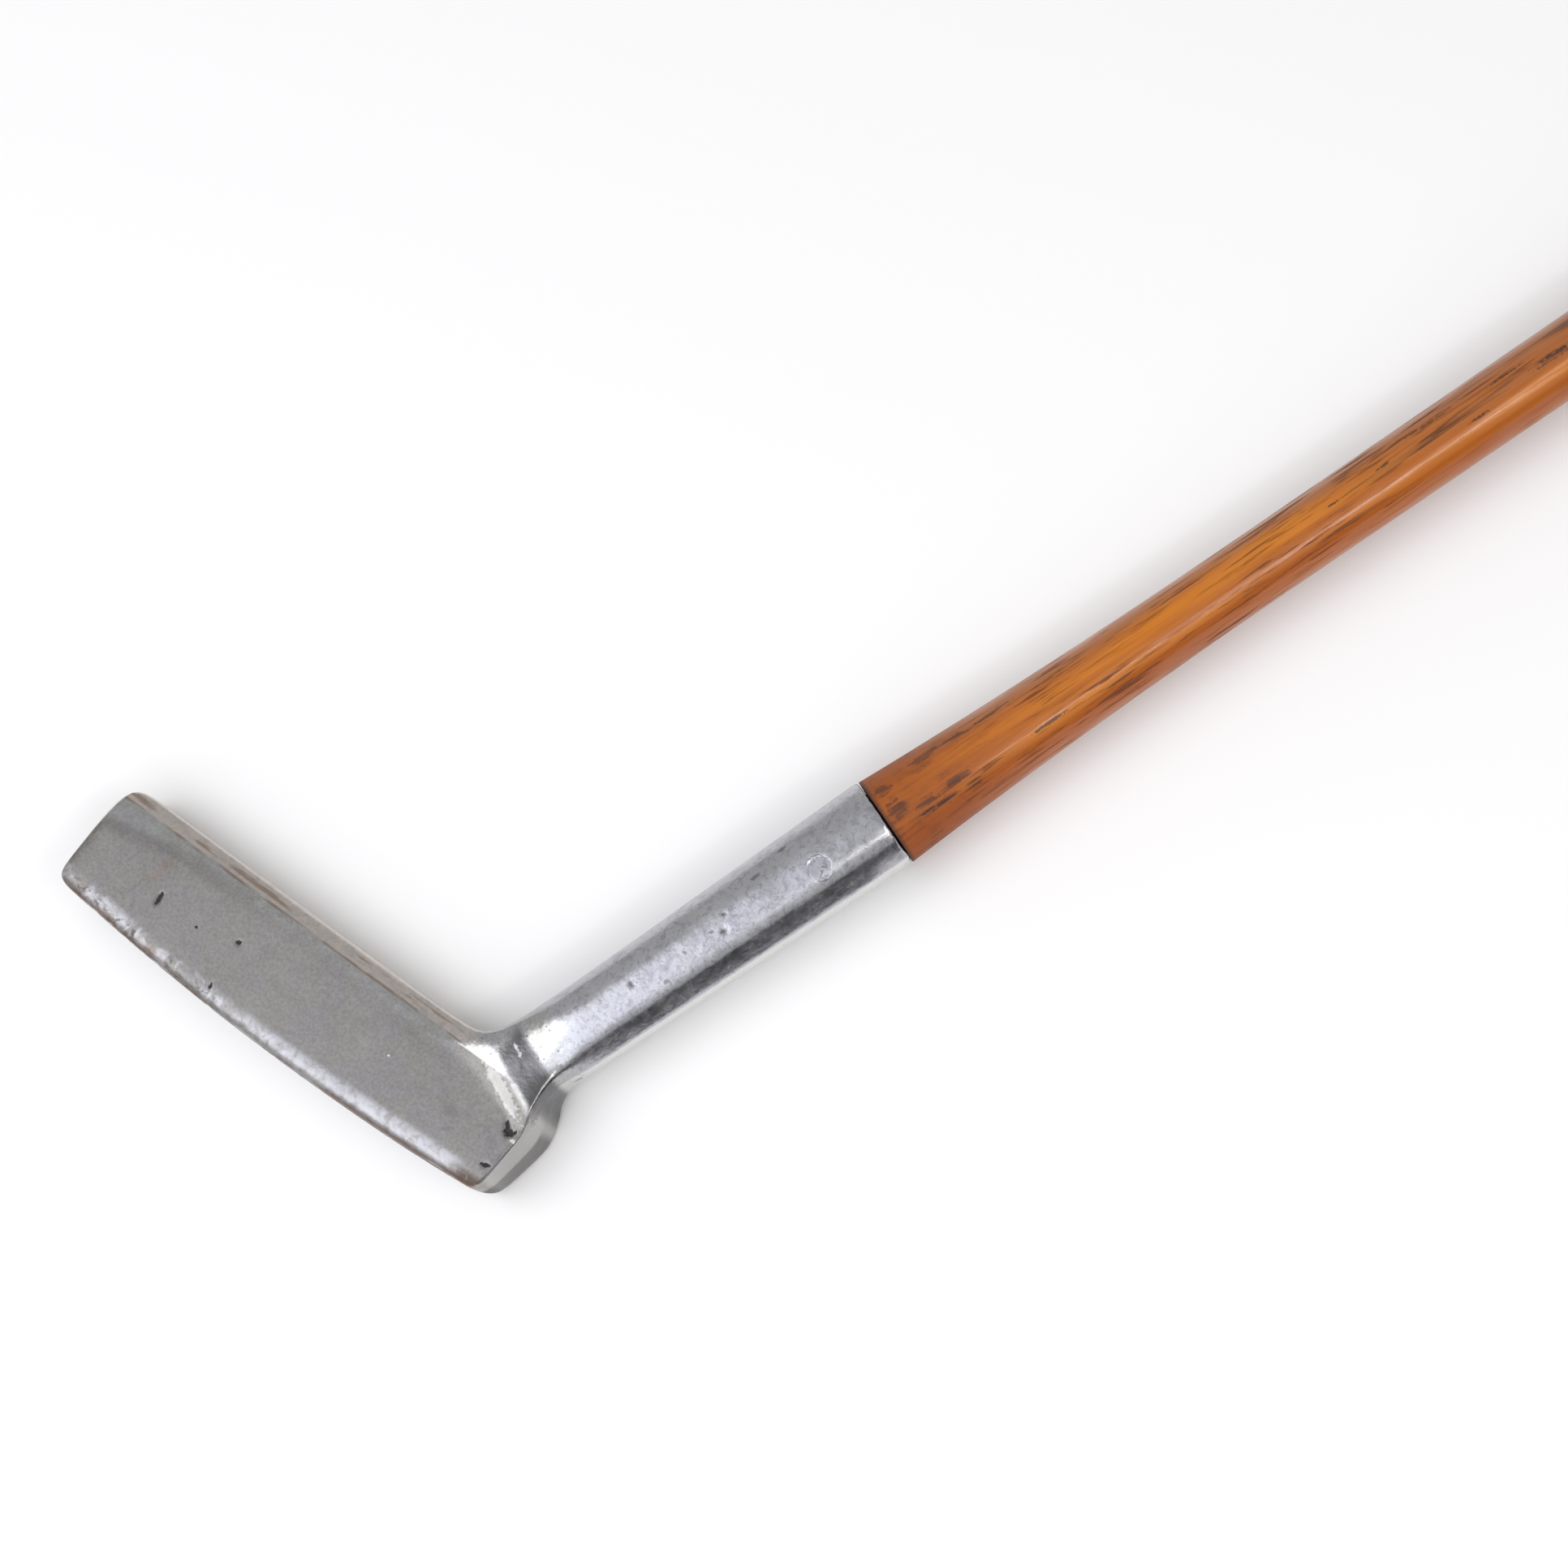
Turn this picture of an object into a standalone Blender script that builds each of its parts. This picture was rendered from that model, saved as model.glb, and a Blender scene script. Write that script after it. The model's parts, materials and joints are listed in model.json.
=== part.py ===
"""A hickory-shafted blade putter, lying face up. Metres, +Z up.

The club is drawn about its shaft: x runs along the shaft's axis to the butt, y to the toe side and z out of
the face. Zero is where the axis meets the level of the blade's top line. An empty then lays it on the floor.
"""

import math
from dataclasses import dataclass

import bmesh
import bpy
from mathutils import Matrix, Vector
from mathutils.bvhtree import BVHTree

MM = 0.001
FULL_TURN = 2 * math.pi

# The whole club
CLUB_LENGTH = 889 * MM  # along the axis, from the sole's level to the butt
LIE = math.radians(69)  # between the top line and the axis
LOFT = math.radians(3)  # the face leans back from the axis
SEAT_GAP = 0.3 * MM  # left where one piece rests on another
FIT_GAP = 0.15 * MM  # all round a tenon, a pin or a tack in its hole

# Blade, in the frame of its top line: x to the heel, y to the back, z up
TOE_REACH = 96.3 * MM  # from the axis along the top line
HEEL_REACH = 8.7 * MM
BLADE_HEIGHT = 25.1 * MM
BLADE_THICKNESS = 13.0 * MM
FACE_ADVANCE = 5.4 * MM  # from the axis to the face at mid height
EDGE_REACH = 2.6 * MM  # how far an edge's rounding eats into each side
HEEL_EDGE_REACH = 1.2 * MM
TOE_TOP_REACH = 7.0 * MM
TOE_SOLE_REACH = 4.4 * MM
HEEL_SOLE_REACH = 4.6 * MM
HEEL_BELLY = 1.0 * MM  # the heel end bulges this much past its front top corner and its sole
HEEL_BACK_BELLY = 0.3 * MM  # and this much less at its back top corner
TOP_BEVEL = 1.9 * MM  # the face leans back this much over its top edge's rounding
SOLE_LOW_POINT = -46 * MM  # the sole's lowest point along the top line
SOLE_CAMBER = 2.5 * MM  # rise of the sole at the blade's ends
SOLE_CAMBER_POWER = 1.8
SOLE_ROUND_AT_HEEL = 5.0 * MM  # the face rolls into the sole over this height at the heel
SOLE_LEADING_RISE = 0.5 * MM  # the sole curves up to its front and back edges
SOLE_TRAILING_RISE = 1.3 * MM
SHOULDER_DROP = 6.4 * MM  # down the axis to where the face steps up to the neck's foot
SHOULDER_TURN = math.radians(73)  # between the top line and the square of that step
SHOULDER_TOE_REACH = 1.6 * MM  # the step runs on this far past the neck's toe side
SHOULDER_FLAT = 1.6 * MM  # the face holds flat from this far below the step
SHOULDER_RISE = 1.3 * MM  # height of that step
FILLET_REACH = 5.6 * MM  # of the round between the top line and the neck
FOOT_DROP = 3.3 * MM  # the neck's foot lies this far below the top line at the heel's back
FOOT_FRONT_DROP = 5.4 * MM  # and this far at its front
FOOT_TOE_RISE = 0.8 * MM  # above the top line at the foot's front toe corner

# Neck and hosel
NECK_DIAMETER = 15.2 * MM
FOOT_END = 4.8 * MM  # along the axis, where the foot starts its second step, up to the round neck
NECK_START = 10.0 * MM
NECK_HOLD = 3.5 * MM  # the neck keeps its diameter for this far
FOOT_HEEL_INSET = 0.35 * MM  # the foot's end stays this far inside the neck on the heel side
FOOT_SQUARENESS = 2.8  # of the section at the foot's end; two is round
NECK_SQUARENESS = 2.35
HOSEL_LENGTH = 77.3 * MM  # along the axis
HOSEL_DIAMETER = 17.5 * MM  # at its mouth
HOSEL_EDGE = 0.6 * MM
SOCKET_FLOOR = 11.3 * MM  # the socket ends this far up the axis
SOCKET_MOUTH = 12.4 * MM
SOCKET_END = 9.6 * MM
PIN_DIAMETER = 2.5 * MM
PIN_BELOW_MOUTH = 13.9 * MM
PIN_TURN = math.radians(20)  # round the axis, from the face to the heel side
PIN_PROUD = 0.15 * MM

# Shaft
SHAFT_AT_JOINT = 17.1 * MM  # diameters
SHAFT_WAIST = 12.9 * MM
WAIST_ABOVE_JOINT = 88 * MM
SHAFT_AT_BUTT = 18.4 * MM
TENON_END_GAP = 1.0 * MM
BUTT_DOME = 1.5 * MM

# Grip
GRIP_LENGTH = 275 * MM
BUTT_BARE = 4 * MM  # wood left past the leather
LISTING_THICKNESS = 1.1 * MM
LISTING_INSET = 6 * MM  # the cloth stops short of the leather's ends
LEATHER_THICKNESS = 1.5 * MM
LEATHER_LAP = 0.7 * MM  # each turn's edge stands this proud of the next
LEATHER_PITCH = 22 * MM
LAP_FADE = 12 * MM  # the lapped edge rises over this length at each end of the winding
BUTT_ROUND = 0.3 * MM
GRIP_SWELL = 1.6 * MM  # extra diameter that the listing gives at the butt
WHIPPING_TURNS = 10
THREAD_DIAMETER = 0.9 * MM
WHIPPING_INSET = 1.5 * MM  # leather left past the thread
NIP = 0.7 * MM  # how far the thread pulls the leather in
NIP_LEAN = 1.0 * MM  # the leather slopes back up over this length
TACK_SHANK = 1.5 * MM
TACK_HEAD = 5.0 * MM
TACK_HEAD_HEIGHT = 1.1 * MM
TACK_LENGTH = 9.0 * MM
TACK_FROM_WHIPPING = 5.0 * MM
TACK_TURN = math.radians(97)  # round the axis, from the face to the heel side

# How finely the round pieces are drawn
SHAFT_SIDES = 40
SLEEVE_SIDES = 28
THREAD_SIDES = 24
SMALL_SIDES = 16
LEATHER_SIDES = 24
SHARP = math.radians(32)

BUTT = CLUB_LENGTH - BLADE_HEIGHT / math.sin(LIE)
SOCKET_DEPTH = HOSEL_LENGTH - SOCKET_FLOOR
LEATHER_END = BUTT - BUTT_BARE
LEATHER_START = LEATHER_END - GRIP_LENGTH
WHIPPING_LENGTH = WHIPPING_TURNS * THREAD_DIAMETER


@dataclass(frozen=True)
class Finish:
    """Colour, roughness and metal of one material."""

    colour: tuple
    roughness: float
    metallic: float


PLATED_METAL = Finish((0.30, 0.30, 0.29), 0.38, 1.0)
PIN_STEEL = Finish((0.16, 0.15, 0.14), 0.50, 1.0)
HICKORY = Finish((0.42, 0.17, 0.06), 0.30, 0.0)
CLOTH = Finish((0.45, 0.38, 0.28), 0.95, 0.0)
LEATHER = Finish((0.085, 0.040, 0.022), 0.62, 0.0)
WAXED_THREAD = Finish((0.035, 0.028, 0.022), 0.55, 0.0)
TACK_BRASS = Finish((0.52, 0.36, 0.14), 0.40, 1.0)


def material(name, finish):
    """A Principled material of this finish."""
    made = bpy.data.materials.new(name)
    made.use_nodes = True
    shader = made.node_tree.nodes["Principled BSDF"]
    shader.inputs["Base Color"].default_value = (*finish.colour, 1)
    shader.inputs["Roughness"].default_value = finish.roughness
    shader.inputs["Metallic"].default_value = finish.metallic
    made.diffuse_color = (*finish.colour, 1)
    return made


def add_object(name, bm, finish, parent):
    """The bmesh as a smooth-shaded object with its own material, under its parent."""
    mesh = bpy.data.meshes.new(name)
    bm.to_mesh(mesh)
    bm.free()
    mesh.shade_smooth()
    mesh.set_sharp_from_angle(angle=SHARP)
    made = bpy.data.objects.new(name, mesh)
    bpy.context.scene.collection.objects.link(made)
    made.parent = parent
    if finish:
        mesh.materials.append(material(name + "_finish", finish))
    return made


def add_cutter(name, bm, parent):
    """A helper that only cuts: not rendered, and drawn as wire."""
    made = add_object(name, bm, None, parent)
    made.hide_render = True
    made.display_type = "WIRE"
    return made


def boolean(target, cutter, operation="DIFFERENCE"):
    """Cuts the target with the cutter, or keeps what they share."""
    modifier = target.modifiers.new(cutter.name, "BOOLEAN")
    modifier.operation = operation
    modifier.object = cutter
    modifier.solver = "EXACT"


def turned(profile, sides):
    """A closed solid turned about the x axis, from (position, radius) points that start and end on it."""
    bm = bmesh.new()
    points = [bm.verts.new((x, radius, 0)) for x, radius in profile]
    edges = [bm.edges.new(pair) for pair in zip(points, points[1:])]
    if profile[0][1] > 0:
        edges.append(bm.edges.new((points[-1], points[0])))
    bmesh.ops.spin(bm, geom=points + edges, cent=(0, 0, 0), axis=(1, 0, 0),
                   angle=FULL_TURN, steps=sides, use_merge=True)
    bmesh.ops.remove_doubles(bm, verts=bm.verts, dist=MM / 1000)
    bmesh.ops.recalc_face_normals(bm, faces=bm.faces)
    return bm


def across_axis(position, turn):
    """Places a turned piece across the shaft at this position, its x axis out at this turn from the face."""
    outward = Vector((0, -math.sin(turn), math.cos(turn)))
    return Matrix.Translation((position, 0, 0)) @ outward.to_track_quat("X", "Z").to_matrix().to_4x4()


# Blade, neck and hosel: one cage of four-sided faces, rounded by subdivision

@dataclass(frozen=True)
class Ring:
    """A section across the axis: how far it reaches from the axis on each side, and how square it is."""

    position: float
    toe: float
    heel: float
    face: float
    back: float
    squareness: float = 2.0


COLUMNS = 5  # points through the blade's thickness
ROWS = 5  # points up the blade
NECK_STATIONS = 4  # of the stations along the blade, the last ones, which carry the neck
RING_POINTS = 2 * (COLUMNS + NECK_STATIONS - 2)
CAGE_SWELL = 6 / (4 + 2 * math.cos(FULL_TURN / RING_POINTS))  # a ring's cage lies outside its smooth surface
NECK_CORNER = -NECK_DIAMETER / 2 / math.sin(LIE)  # where the neck's toe side meets the top line
SUPPORT = 3  # a support lies this many edge reaches in from the heel end
STEP_CREASE = 0.55  # how crisp each step of the neck's foot stays when the cage is rounded
RIDGE_CREASE = 0.5  # and the ridge from the heel's front edge up into the neck
BEVEL_CREASE = 0.35  # and the line where the face meets its top bevel


def sole_level(x):
    """Height of the sole's lowest line at x along the blade."""
    half = (TOE_REACH + HEEL_REACH) / 2
    return SOLE_CAMBER * (abs(x - SOLE_LOW_POINT) / half) ** SOLE_CAMBER_POWER - BLADE_HEIGHT


def lofted(x, y, z):
    """A point of the blade, leaned back by the loft about mid height."""
    return Vector((x, y + (z + BLADE_HEIGHT / 2) * math.tan(LOFT), z))


def shoulder_height(x, drop):
    """Height, at x along the blade, of the step's line that lies this far down."""
    return (-drop - x * math.cos(SHOULDER_TURN)) / math.sin(SHOULDER_TURN)


def round_ring(position, radius):
    """A round section."""
    return Ring(position, radius, radius, radius, radius)


def ring_point(ring, index):
    """Point of a neck ring, counted from the front toe-side corner through the front, heel, back and toe."""
    angle = FULL_TURN * (0.5 + (index + (COLUMNS - 1) / 2) / RING_POINTS)
    across, through = math.cos(angle), math.sin(angle)
    power = 2 / ring.squareness
    across = math.copysign(abs(across) ** power, across)
    through = math.copysign(abs(through) ** power, through)
    outward = across * (ring.heel if across > 0 else ring.toe) * CAGE_SWELL
    y = through * (ring.back if through > 0 else ring.face) * CAGE_SWELL
    return Vector((ring.position * math.cos(LIE) + outward * math.sin(LIE), y,
                   ring.position * math.sin(LIE) - outward * math.cos(LIE)))


def neck_rings():
    """Sections from above the neck's foot to the flat end of the hosel."""
    neck, mouth = NECK_DIAMETER / 2, HOSEL_DIAMETER / 2
    foot_face = FACE_ADVANCE - BLADE_HEIGHT / 2 * math.tan(LOFT) + SHOULDER_RISE
    return [
        Ring(FOOT_END, neck, neck - FOOT_HEEL_INSET, foot_face, neck, FOOT_SQUARENESS),
        Ring(NECK_START, neck, neck, neck, neck, NECK_SQUARENESS),
        round_ring(NECK_START + NECK_HOLD, neck),
        round_ring(HOSEL_LENGTH - HOSEL_EDGE, mouth),
        round_ring(HOSEL_LENGTH, mouth),
        round_ring(HOSEL_LENGTH, mouth - HOSEL_EDGE),
        round_ring(HOSEL_LENGTH, SOCKET_END / 2),
    ]


def blade_stations():
    """Positions along the top line, from the toe to the heel end; the last ones carry the neck."""
    run = NECK_CORNER - FILLET_REACH
    body = TOE_REACH + run
    plain = [-TOE_REACH, -TOE_REACH + EDGE_REACH, run - 0.66 * body, run - 0.30 * body, run]
    foot = HEEL_REACH - NECK_CORNER
    return plain + [NECK_CORNER, NECK_CORNER + 0.36 * foot, HEEL_REACH - HEEL_EDGE_REACH, HEEL_REACH]


def blade_columns(front, back, reach):
    """Positions through the thickness, with a support beside each edge."""
    return [front, front + reach, (front + back) / 2, back - reach, back]


def foot_point(station, column, heel_support):
    """A point of the neck's foot: square to the blade, proud of the face and sloping down to the heel."""
    slope = (station - NECK_CORNER) / (HEEL_REACH - NECK_CORNER)
    frontness = 1 - column / (COLUMNS - 1)
    belly = (HEEL_BELLY * frontness - HEEL_BACK_BELLY * (1 - frontness)) * slope
    x = HEEL_REACH - SUPPORT * HEEL_EDGE_REACH if heel_support else station - belly
    reach = HEEL_EDGE_REACH if slope > 0.5 else EDGE_REACH
    y = blade_columns(-FACE_ADVANCE - SHOULDER_RISE, BLADE_THICKNESS - FACE_ADVANCE, reach)[column]
    drop = FOOT_DROP + (FOOT_FRONT_DROP - FOOT_DROP) * frontness ** 2
    return lofted(x, y, FOOT_TOE_RISE * frontness ** 2 * (1 - slope) - drop * slope)


def blade_grid():
    """Cage points of the blade, by station, column and row."""
    stations = blade_stations()
    neck_from, last = len(stations) - NECK_STATIONS, len(stations) - 1
    front, back = -FACE_ADVANCE, BLADE_THICKNESS - FACE_ADVANCE
    sole_rise = [SOLE_LEADING_RISE, 0, 0, SOLE_TRAILING_RISE / 3, SOLE_TRAILING_RISE]
    grid = {}
    for s, station in enumerate(stations):
        toe_end, heel_end = s < 2, s >= last - 1
        end_reach = TOE_SOLE_REACH if toe_end else HEEL_SOLE_REACH if heel_end else EDGE_REACH
        share = (station + TOE_REACH) / (TOE_REACH + HEEL_REACH)
        for c, y in enumerate(blade_columns(front, back, HEEL_EDGE_REACH if heel_end else EDGE_REACH)):
            low = sole_level(station) + sole_rise[c]
            sole_reach = max(end_reach, SOLE_ROUND_AT_HEEL * share) if c == 0 else end_reach
            top = -TOE_TOP_REACH if toe_end else -EDGE_REACH
            middle = (top + low + sole_reach) / 2
            if s >= neck_from:
                top = shoulder_height(station, SHOULDER_DROP)
                middle = shoulder_height(station, SHOULDER_DROP + SHOULDER_FLAT)
            xs = [station] * ROWS
            if s == 1:
                xs[0] += TOE_SOLE_REACH - EDGE_REACH
                xs[-1] += TOE_TOP_REACH - EDGE_REACH
            if s == neck_from:
                xs[-2] -= SHOULDER_TOE_REACH
            if s == last - 1:
                xs[0] -= HEEL_SOLE_REACH - HEEL_EDGE_REACH
            if s == last:
                xs[0] -= HEEL_BELLY
                xs[1] -= HEEL_BELLY / 2
            for r, z in enumerate((low, low + sole_reach, middle, top, 0)):
                lean = TOP_BEVEL if c == 0 and z == 0 else 0
                grid[s, c, r] = lofted(xs[r], y + lean, z)
            if s >= neck_from:
                grid[s, c, ROWS - 1] = foot_point(station, c, s == last - 1)
    return grid, last, neck_from


def head_cage():
    """The whole head as one closed cage: a blade whose top opens into the neck's rings."""
    grid, last_station, neck_from = blade_grid()
    last_column, last_row = COLUMNS - 1, ROWS - 1
    foot = [(s, 0) for s in range(neck_from, last_station + 1)]
    foot += [(last_station, c) for c in range(1, last_column)]
    foot += [(s, last_column) for s in range(last_station, neck_from - 1, -1)]
    foot += [(neck_from, c) for c in range(last_column - 1, 0, -1)]

    bm = bmesh.new()
    kept = {}

    def vert(key):
        if key not in kept:
            kept[key] = bm.verts.new(grid[key])
        return kept[key]

    def quad(*keys):
        bm.faces.new([vert(key) for key in keys])

    for s in range(last_station):
        for r in range(last_row):
            quad((s, 0, r), (s + 1, 0, r), (s + 1, 0, r + 1), (s, 0, r + 1))
            quad((s, last_column, r), (s, last_column, r + 1),
                 (s + 1, last_column, r + 1), (s + 1, last_column, r))
        for c in range(last_column):
            quad((s, c, 0), (s, c + 1, 0), (s + 1, c + 1, 0), (s + 1, c, 0))
            if s < neck_from:
                quad((s, c, last_row), (s + 1, c, last_row),
                     (s + 1, c + 1, last_row), (s, c + 1, last_row))
    for c in range(last_column):
        for r in range(last_row):
            quad((0, c, r), (0, c, r + 1), (0, c + 1, r + 1), (0, c + 1, r))
            quad((last_station, c, r), (last_station, c + 1, r),
                 (last_station, c + 1, r + 1), (last_station, c, r + 1))

    below = [kept[s, c, last_row] for s, c in foot]
    steps, ridge = [], [kept[last_station, 0, r] for r in range(ROWS)]
    for ring in neck_rings():
        above = [bm.verts.new(ring_point(ring, index)) for index in range(RING_POINTS)]
        for i in range(RING_POINTS):
            j = (i + 1) % RING_POINTS
            bm.faces.new((below[i], below[j], above[j], above[i]))
        if ring.position == FOOT_END:
            ridge.append(above[NECK_STATIONS - 1])
            steps.append(above[:NECK_STATIONS - 1])
        below = above
    bm.faces.new(below)
    for row in (last_row - 1, last_row):
        steps.append([kept[s, 0, row] for s in range(neck_from, last_station + 1)])
    steps.append([kept[last_station, c, last_row] for c in range(COLUMNS // 2, COLUMNS)])
    bevel = [kept[s, 0, last_row - 1] for s in range(1, neck_from)]
    crease(bm, steps, STEP_CREASE)
    crease(bm, [ridge], RIDGE_CREASE)
    crease(bm, [bevel], BEVEL_CREASE)
    bmesh.ops.recalc_face_normals(bm, faces=bm.faces)
    return bm


def crease(bm, lines, weight):
    """Keeps each line of points this crisp when the cage is rounded."""
    layer = bm.edges.layers.float.get("crease_edge") or bm.edges.layers.float.new("crease_edge")
    for line in lines:
        for pair in zip(line, line[1:]):
            bm.edges.get(pair)[layer] = weight


def head_to_club():
    """Turns the blade's frame into the club's, about the point they share."""
    lie_cos, lie_sin = math.cos(LIE), math.sin(LIE)
    return Matrix(((lie_cos, 0, lie_sin, 0), (-lie_sin, 0, lie_cos, 0), (0, -1, 0, 0), (0, 0, 0, 1)))


def socket_radius(depth):
    """Radius of the tapered socket, this far below the hosel's mouth."""
    share = depth / SOCKET_DEPTH
    return (SOCKET_MOUTH + (SOCKET_END - SOCKET_MOUTH) * share) / 2


def hosel_radius(position):
    """Radius of the hosel at this position on the axis."""
    share = (position - NECK_START) / (HOSEL_LENGTH - NECK_START)
    return (NECK_DIAMETER + (HOSEL_DIAMETER - NECK_DIAMETER) * share) / 2


def make_head(club):
    """Blade, neck and hosel, with the socket and the pin's hole cut."""
    head = add_object("putter_head", head_cage(), PLATED_METAL, club)
    head.matrix_local = head_to_club()
    rounded = head.modifiers.new("rounded", "SUBSURF")
    rounded.levels = rounded.render_levels = 2

    past = 2 * MM
    floor = HOSEL_LENGTH - SOCKET_DEPTH
    socket = [(floor, 0), (floor, socket_radius(SOCKET_DEPTH)), (HOSEL_LENGTH + past, socket_radius(-past)),
              (HOSEL_LENGTH + past, 0)]
    boolean(head, add_cutter("socket_cutter", turned(socket, SHAFT_SIDES), club))
    boolean(head, pin_hole_cutter(club))
    return head


def pin_place():
    """Where the pin crosses the shaft."""
    return across_axis(HOSEL_LENGTH - PIN_BELOW_MOUTH, PIN_TURN)


def pin_hole_cutter(club):
    """The round hole for the pin, through both walls of the hosel and the tenon."""
    reach, radius = HOSEL_DIAMETER, PIN_DIAMETER / 2 + FIT_GAP
    hole = [(-reach, 0), (-reach, radius), (reach, radius), (reach, 0)]
    cutter = add_cutter("pin_hole_cutter", turned(hole, SMALL_SIDES), club)
    cutter.matrix_local = pin_place()
    return cutter


def make_pin(club):
    """The rivet, filed almost flush with the hosel, with a low dome at each end."""
    reach = hosel_radius(HOSEL_LENGTH - PIN_BELOW_MOUTH)
    radius = PIN_DIAMETER / 2
    half = [(reach - 2 * PIN_PROUD, radius), (reach + PIN_PROUD / 2, 0.7 * radius), (reach + PIN_PROUD, 0)]
    profile = [(-x, r) for x, r in reversed(half)] + half
    pin = add_object("hosel_pin", turned(profile, SMALL_SIDES), PIN_STEEL, club)
    pin.matrix_local = pin_place()
    return pin


def shaft_radius(position):
    """Radius of the wood above the joint: drawn in to the waist, then swelling to the butt."""
    above = position - HOSEL_LENGTH
    if above < WAIST_ABOVE_JOINT:
        share = max(above, 0) / WAIST_ABOVE_JOINT
        return (SHAFT_WAIST + (SHAFT_AT_JOINT - SHAFT_WAIST) * (1 - share) ** 2.3) / 2
    waist = HOSEL_LENGTH + WAIST_ABOVE_JOINT
    share = (position - waist) / (BUTT - waist)
    return (SHAFT_WAIST + (SHAFT_AT_BUTT - SHAFT_WAIST) * share ** 1.08) / 2


def make_shaft(club):
    """The hickory, with its tapered tenon, a square shoulder on the hosel and a slightly domed butt."""
    joint = HOSEL_LENGTH + SEAT_GAP
    tenon_end = HOSEL_LENGTH - SOCKET_DEPTH + TENON_END_GAP
    profile = [(tenon_end, 0), (tenon_end, socket_radius(HOSEL_LENGTH - tenon_end) - FIT_GAP),
               (joint, socket_radius(0) - FIT_GAP)]
    near = [joint + WAIST_ABOVE_JOINT * step / 8 for step in range(9)]
    waist, far_end = near[-1], BUTT - BUTT_DOME
    far = [waist + (far_end - waist) * step / 9 for step in range(1, 10)]
    profile += [(x, shaft_radius(x)) for x in near + far]
    flat = 0.72 * shaft_radius(BUTT)
    profile += [(BUTT - BUTT_DOME / 4, 0.92 * shaft_radius(BUTT)), (BUTT, flat), (BUTT, 0)]
    return add_object("shaft", turned(profile, SHAFT_SIDES), HICKORY, club)


# Grip

def listing_radius(position):
    """Outer radius of the cloth under the leather, thicker towards the butt."""
    share = (position - LEATHER_START) / GRIP_LENGTH
    return shaft_radius(position) + SEAT_GAP + LISTING_THICKNESS + GRIP_SWELL / 2 * share


def make_listing(club):
    """The cloth strip wound on the wood, as a sleeve of its tapered shape."""
    start, end = LEATHER_START + LISTING_INSET, LEATHER_END - LISTING_INSET
    stops = [start + (end - start) * step / 5 for step in range(6)]
    profile = [(x, listing_radius(x)) for x in stops]
    profile += [(x, shaft_radius(x) + SEAT_GAP) for x in reversed(stops)]
    return add_object("underlisting", turned(profile, SLEEVE_SIDES), CLOTH, club)


def whipping_starts():
    """Where each whipping's first turn lies on the axis."""
    return {"lower": LEATHER_START + WHIPPING_INSET, "butt": LEATHER_END - WHIPPING_INSET - WHIPPING_LENGTH}


def leather_bore(position):
    """Radius inside the leather: clear of the cloth, and of the wood where the cloth has ended."""
    return listing_radius(position) + SEAT_GAP


def leather_radius(position, lap):
    """Outer radius of the leather, with lap from zero in a turn's hollow to one on its raised edge."""
    return leather_bore(position) + LEATHER_THICKNESS + lap * LEATHER_LAP


def thread_seat(position):
    """Radius of the leather where the thread pulls it in."""
    return leather_radius(position, 0) - NIP


def leather_section(column):
    """The strip's closed section at one column round the shaft, as (position, radius) points.

    The helix shifts the turns' points along from column to column, and where they run out of the wound
    stretch they gather at its end.
    """
    starts = whipping_starts()
    first = starts["lower"] + WHIPPING_LENGTH + SEAT_GAP + NIP_LEAN
    last = starts["butt"] - SEAT_GAP - NIP_LEAN
    near, far = starts["lower"] - SEAT_GAP, starts["butt"] + WHIPPING_LENGTH + SEAT_GAP
    points = [(LEATHER_START, thread_seat(LEATHER_START)), (first - NIP_LEAN, thread_seat(first - NIP_LEAN))]
    for turn in range(-1, math.ceil((last - first) / LEATHER_PITCH) + 1):
        for share, lap in ((0.0, 0.0), (0.045, 1.0), (0.45, 0.55)):
            x = first + LEATHER_PITCH * (turn + share + column / LEATHER_SIDES)
            x = min(max(x, first), last)
            fade = min(x - first, last - x, LAP_FADE) / LAP_FADE
            points.append((x, leather_radius(x, lap * fade)))
    points += [(last + NIP_LEAN, thread_seat(last + NIP_LEAN)), (far, thread_seat(far)),
               (min(far + NIP_LEAN, LEATHER_END), leather_radius(LEATHER_END, 0) - BUTT_ROUND),
               (LEATHER_END, leather_radius(LEATHER_END, 0) - BUTT_ROUND)]
    stops = [LEATHER_START + GRIP_LENGTH * step / 6 for step in range(7)]
    return points + [(x, leather_bore(x)) for x in reversed(stops)]


def make_leather(club):
    """The leather strip, wound over the cloth in a helix, each turn's raised edge lapping the turn before."""
    bm = bmesh.new()
    for column in range(LEATHER_SIDES):
        sides = []
        for end in (column, column + 1):
            angle = FULL_TURN * end / LEATHER_SIDES
            sides.append([bm.verts.new((x, radius * math.cos(angle), radius * math.sin(angle)))
                          for x, radius in leather_section(end)])
        here, there = sides
        for i in range(len(here)):
            bm.faces.new((here[i - 1], here[i], there[i], there[i - 1]))
    bmesh.ops.remove_doubles(bm, verts=bm.verts, dist=MM / 1000)
    bmesh.ops.recalc_face_normals(bm, faces=bm.faces)
    return add_object("leather_grip", bm, LEATHER, club)


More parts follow.
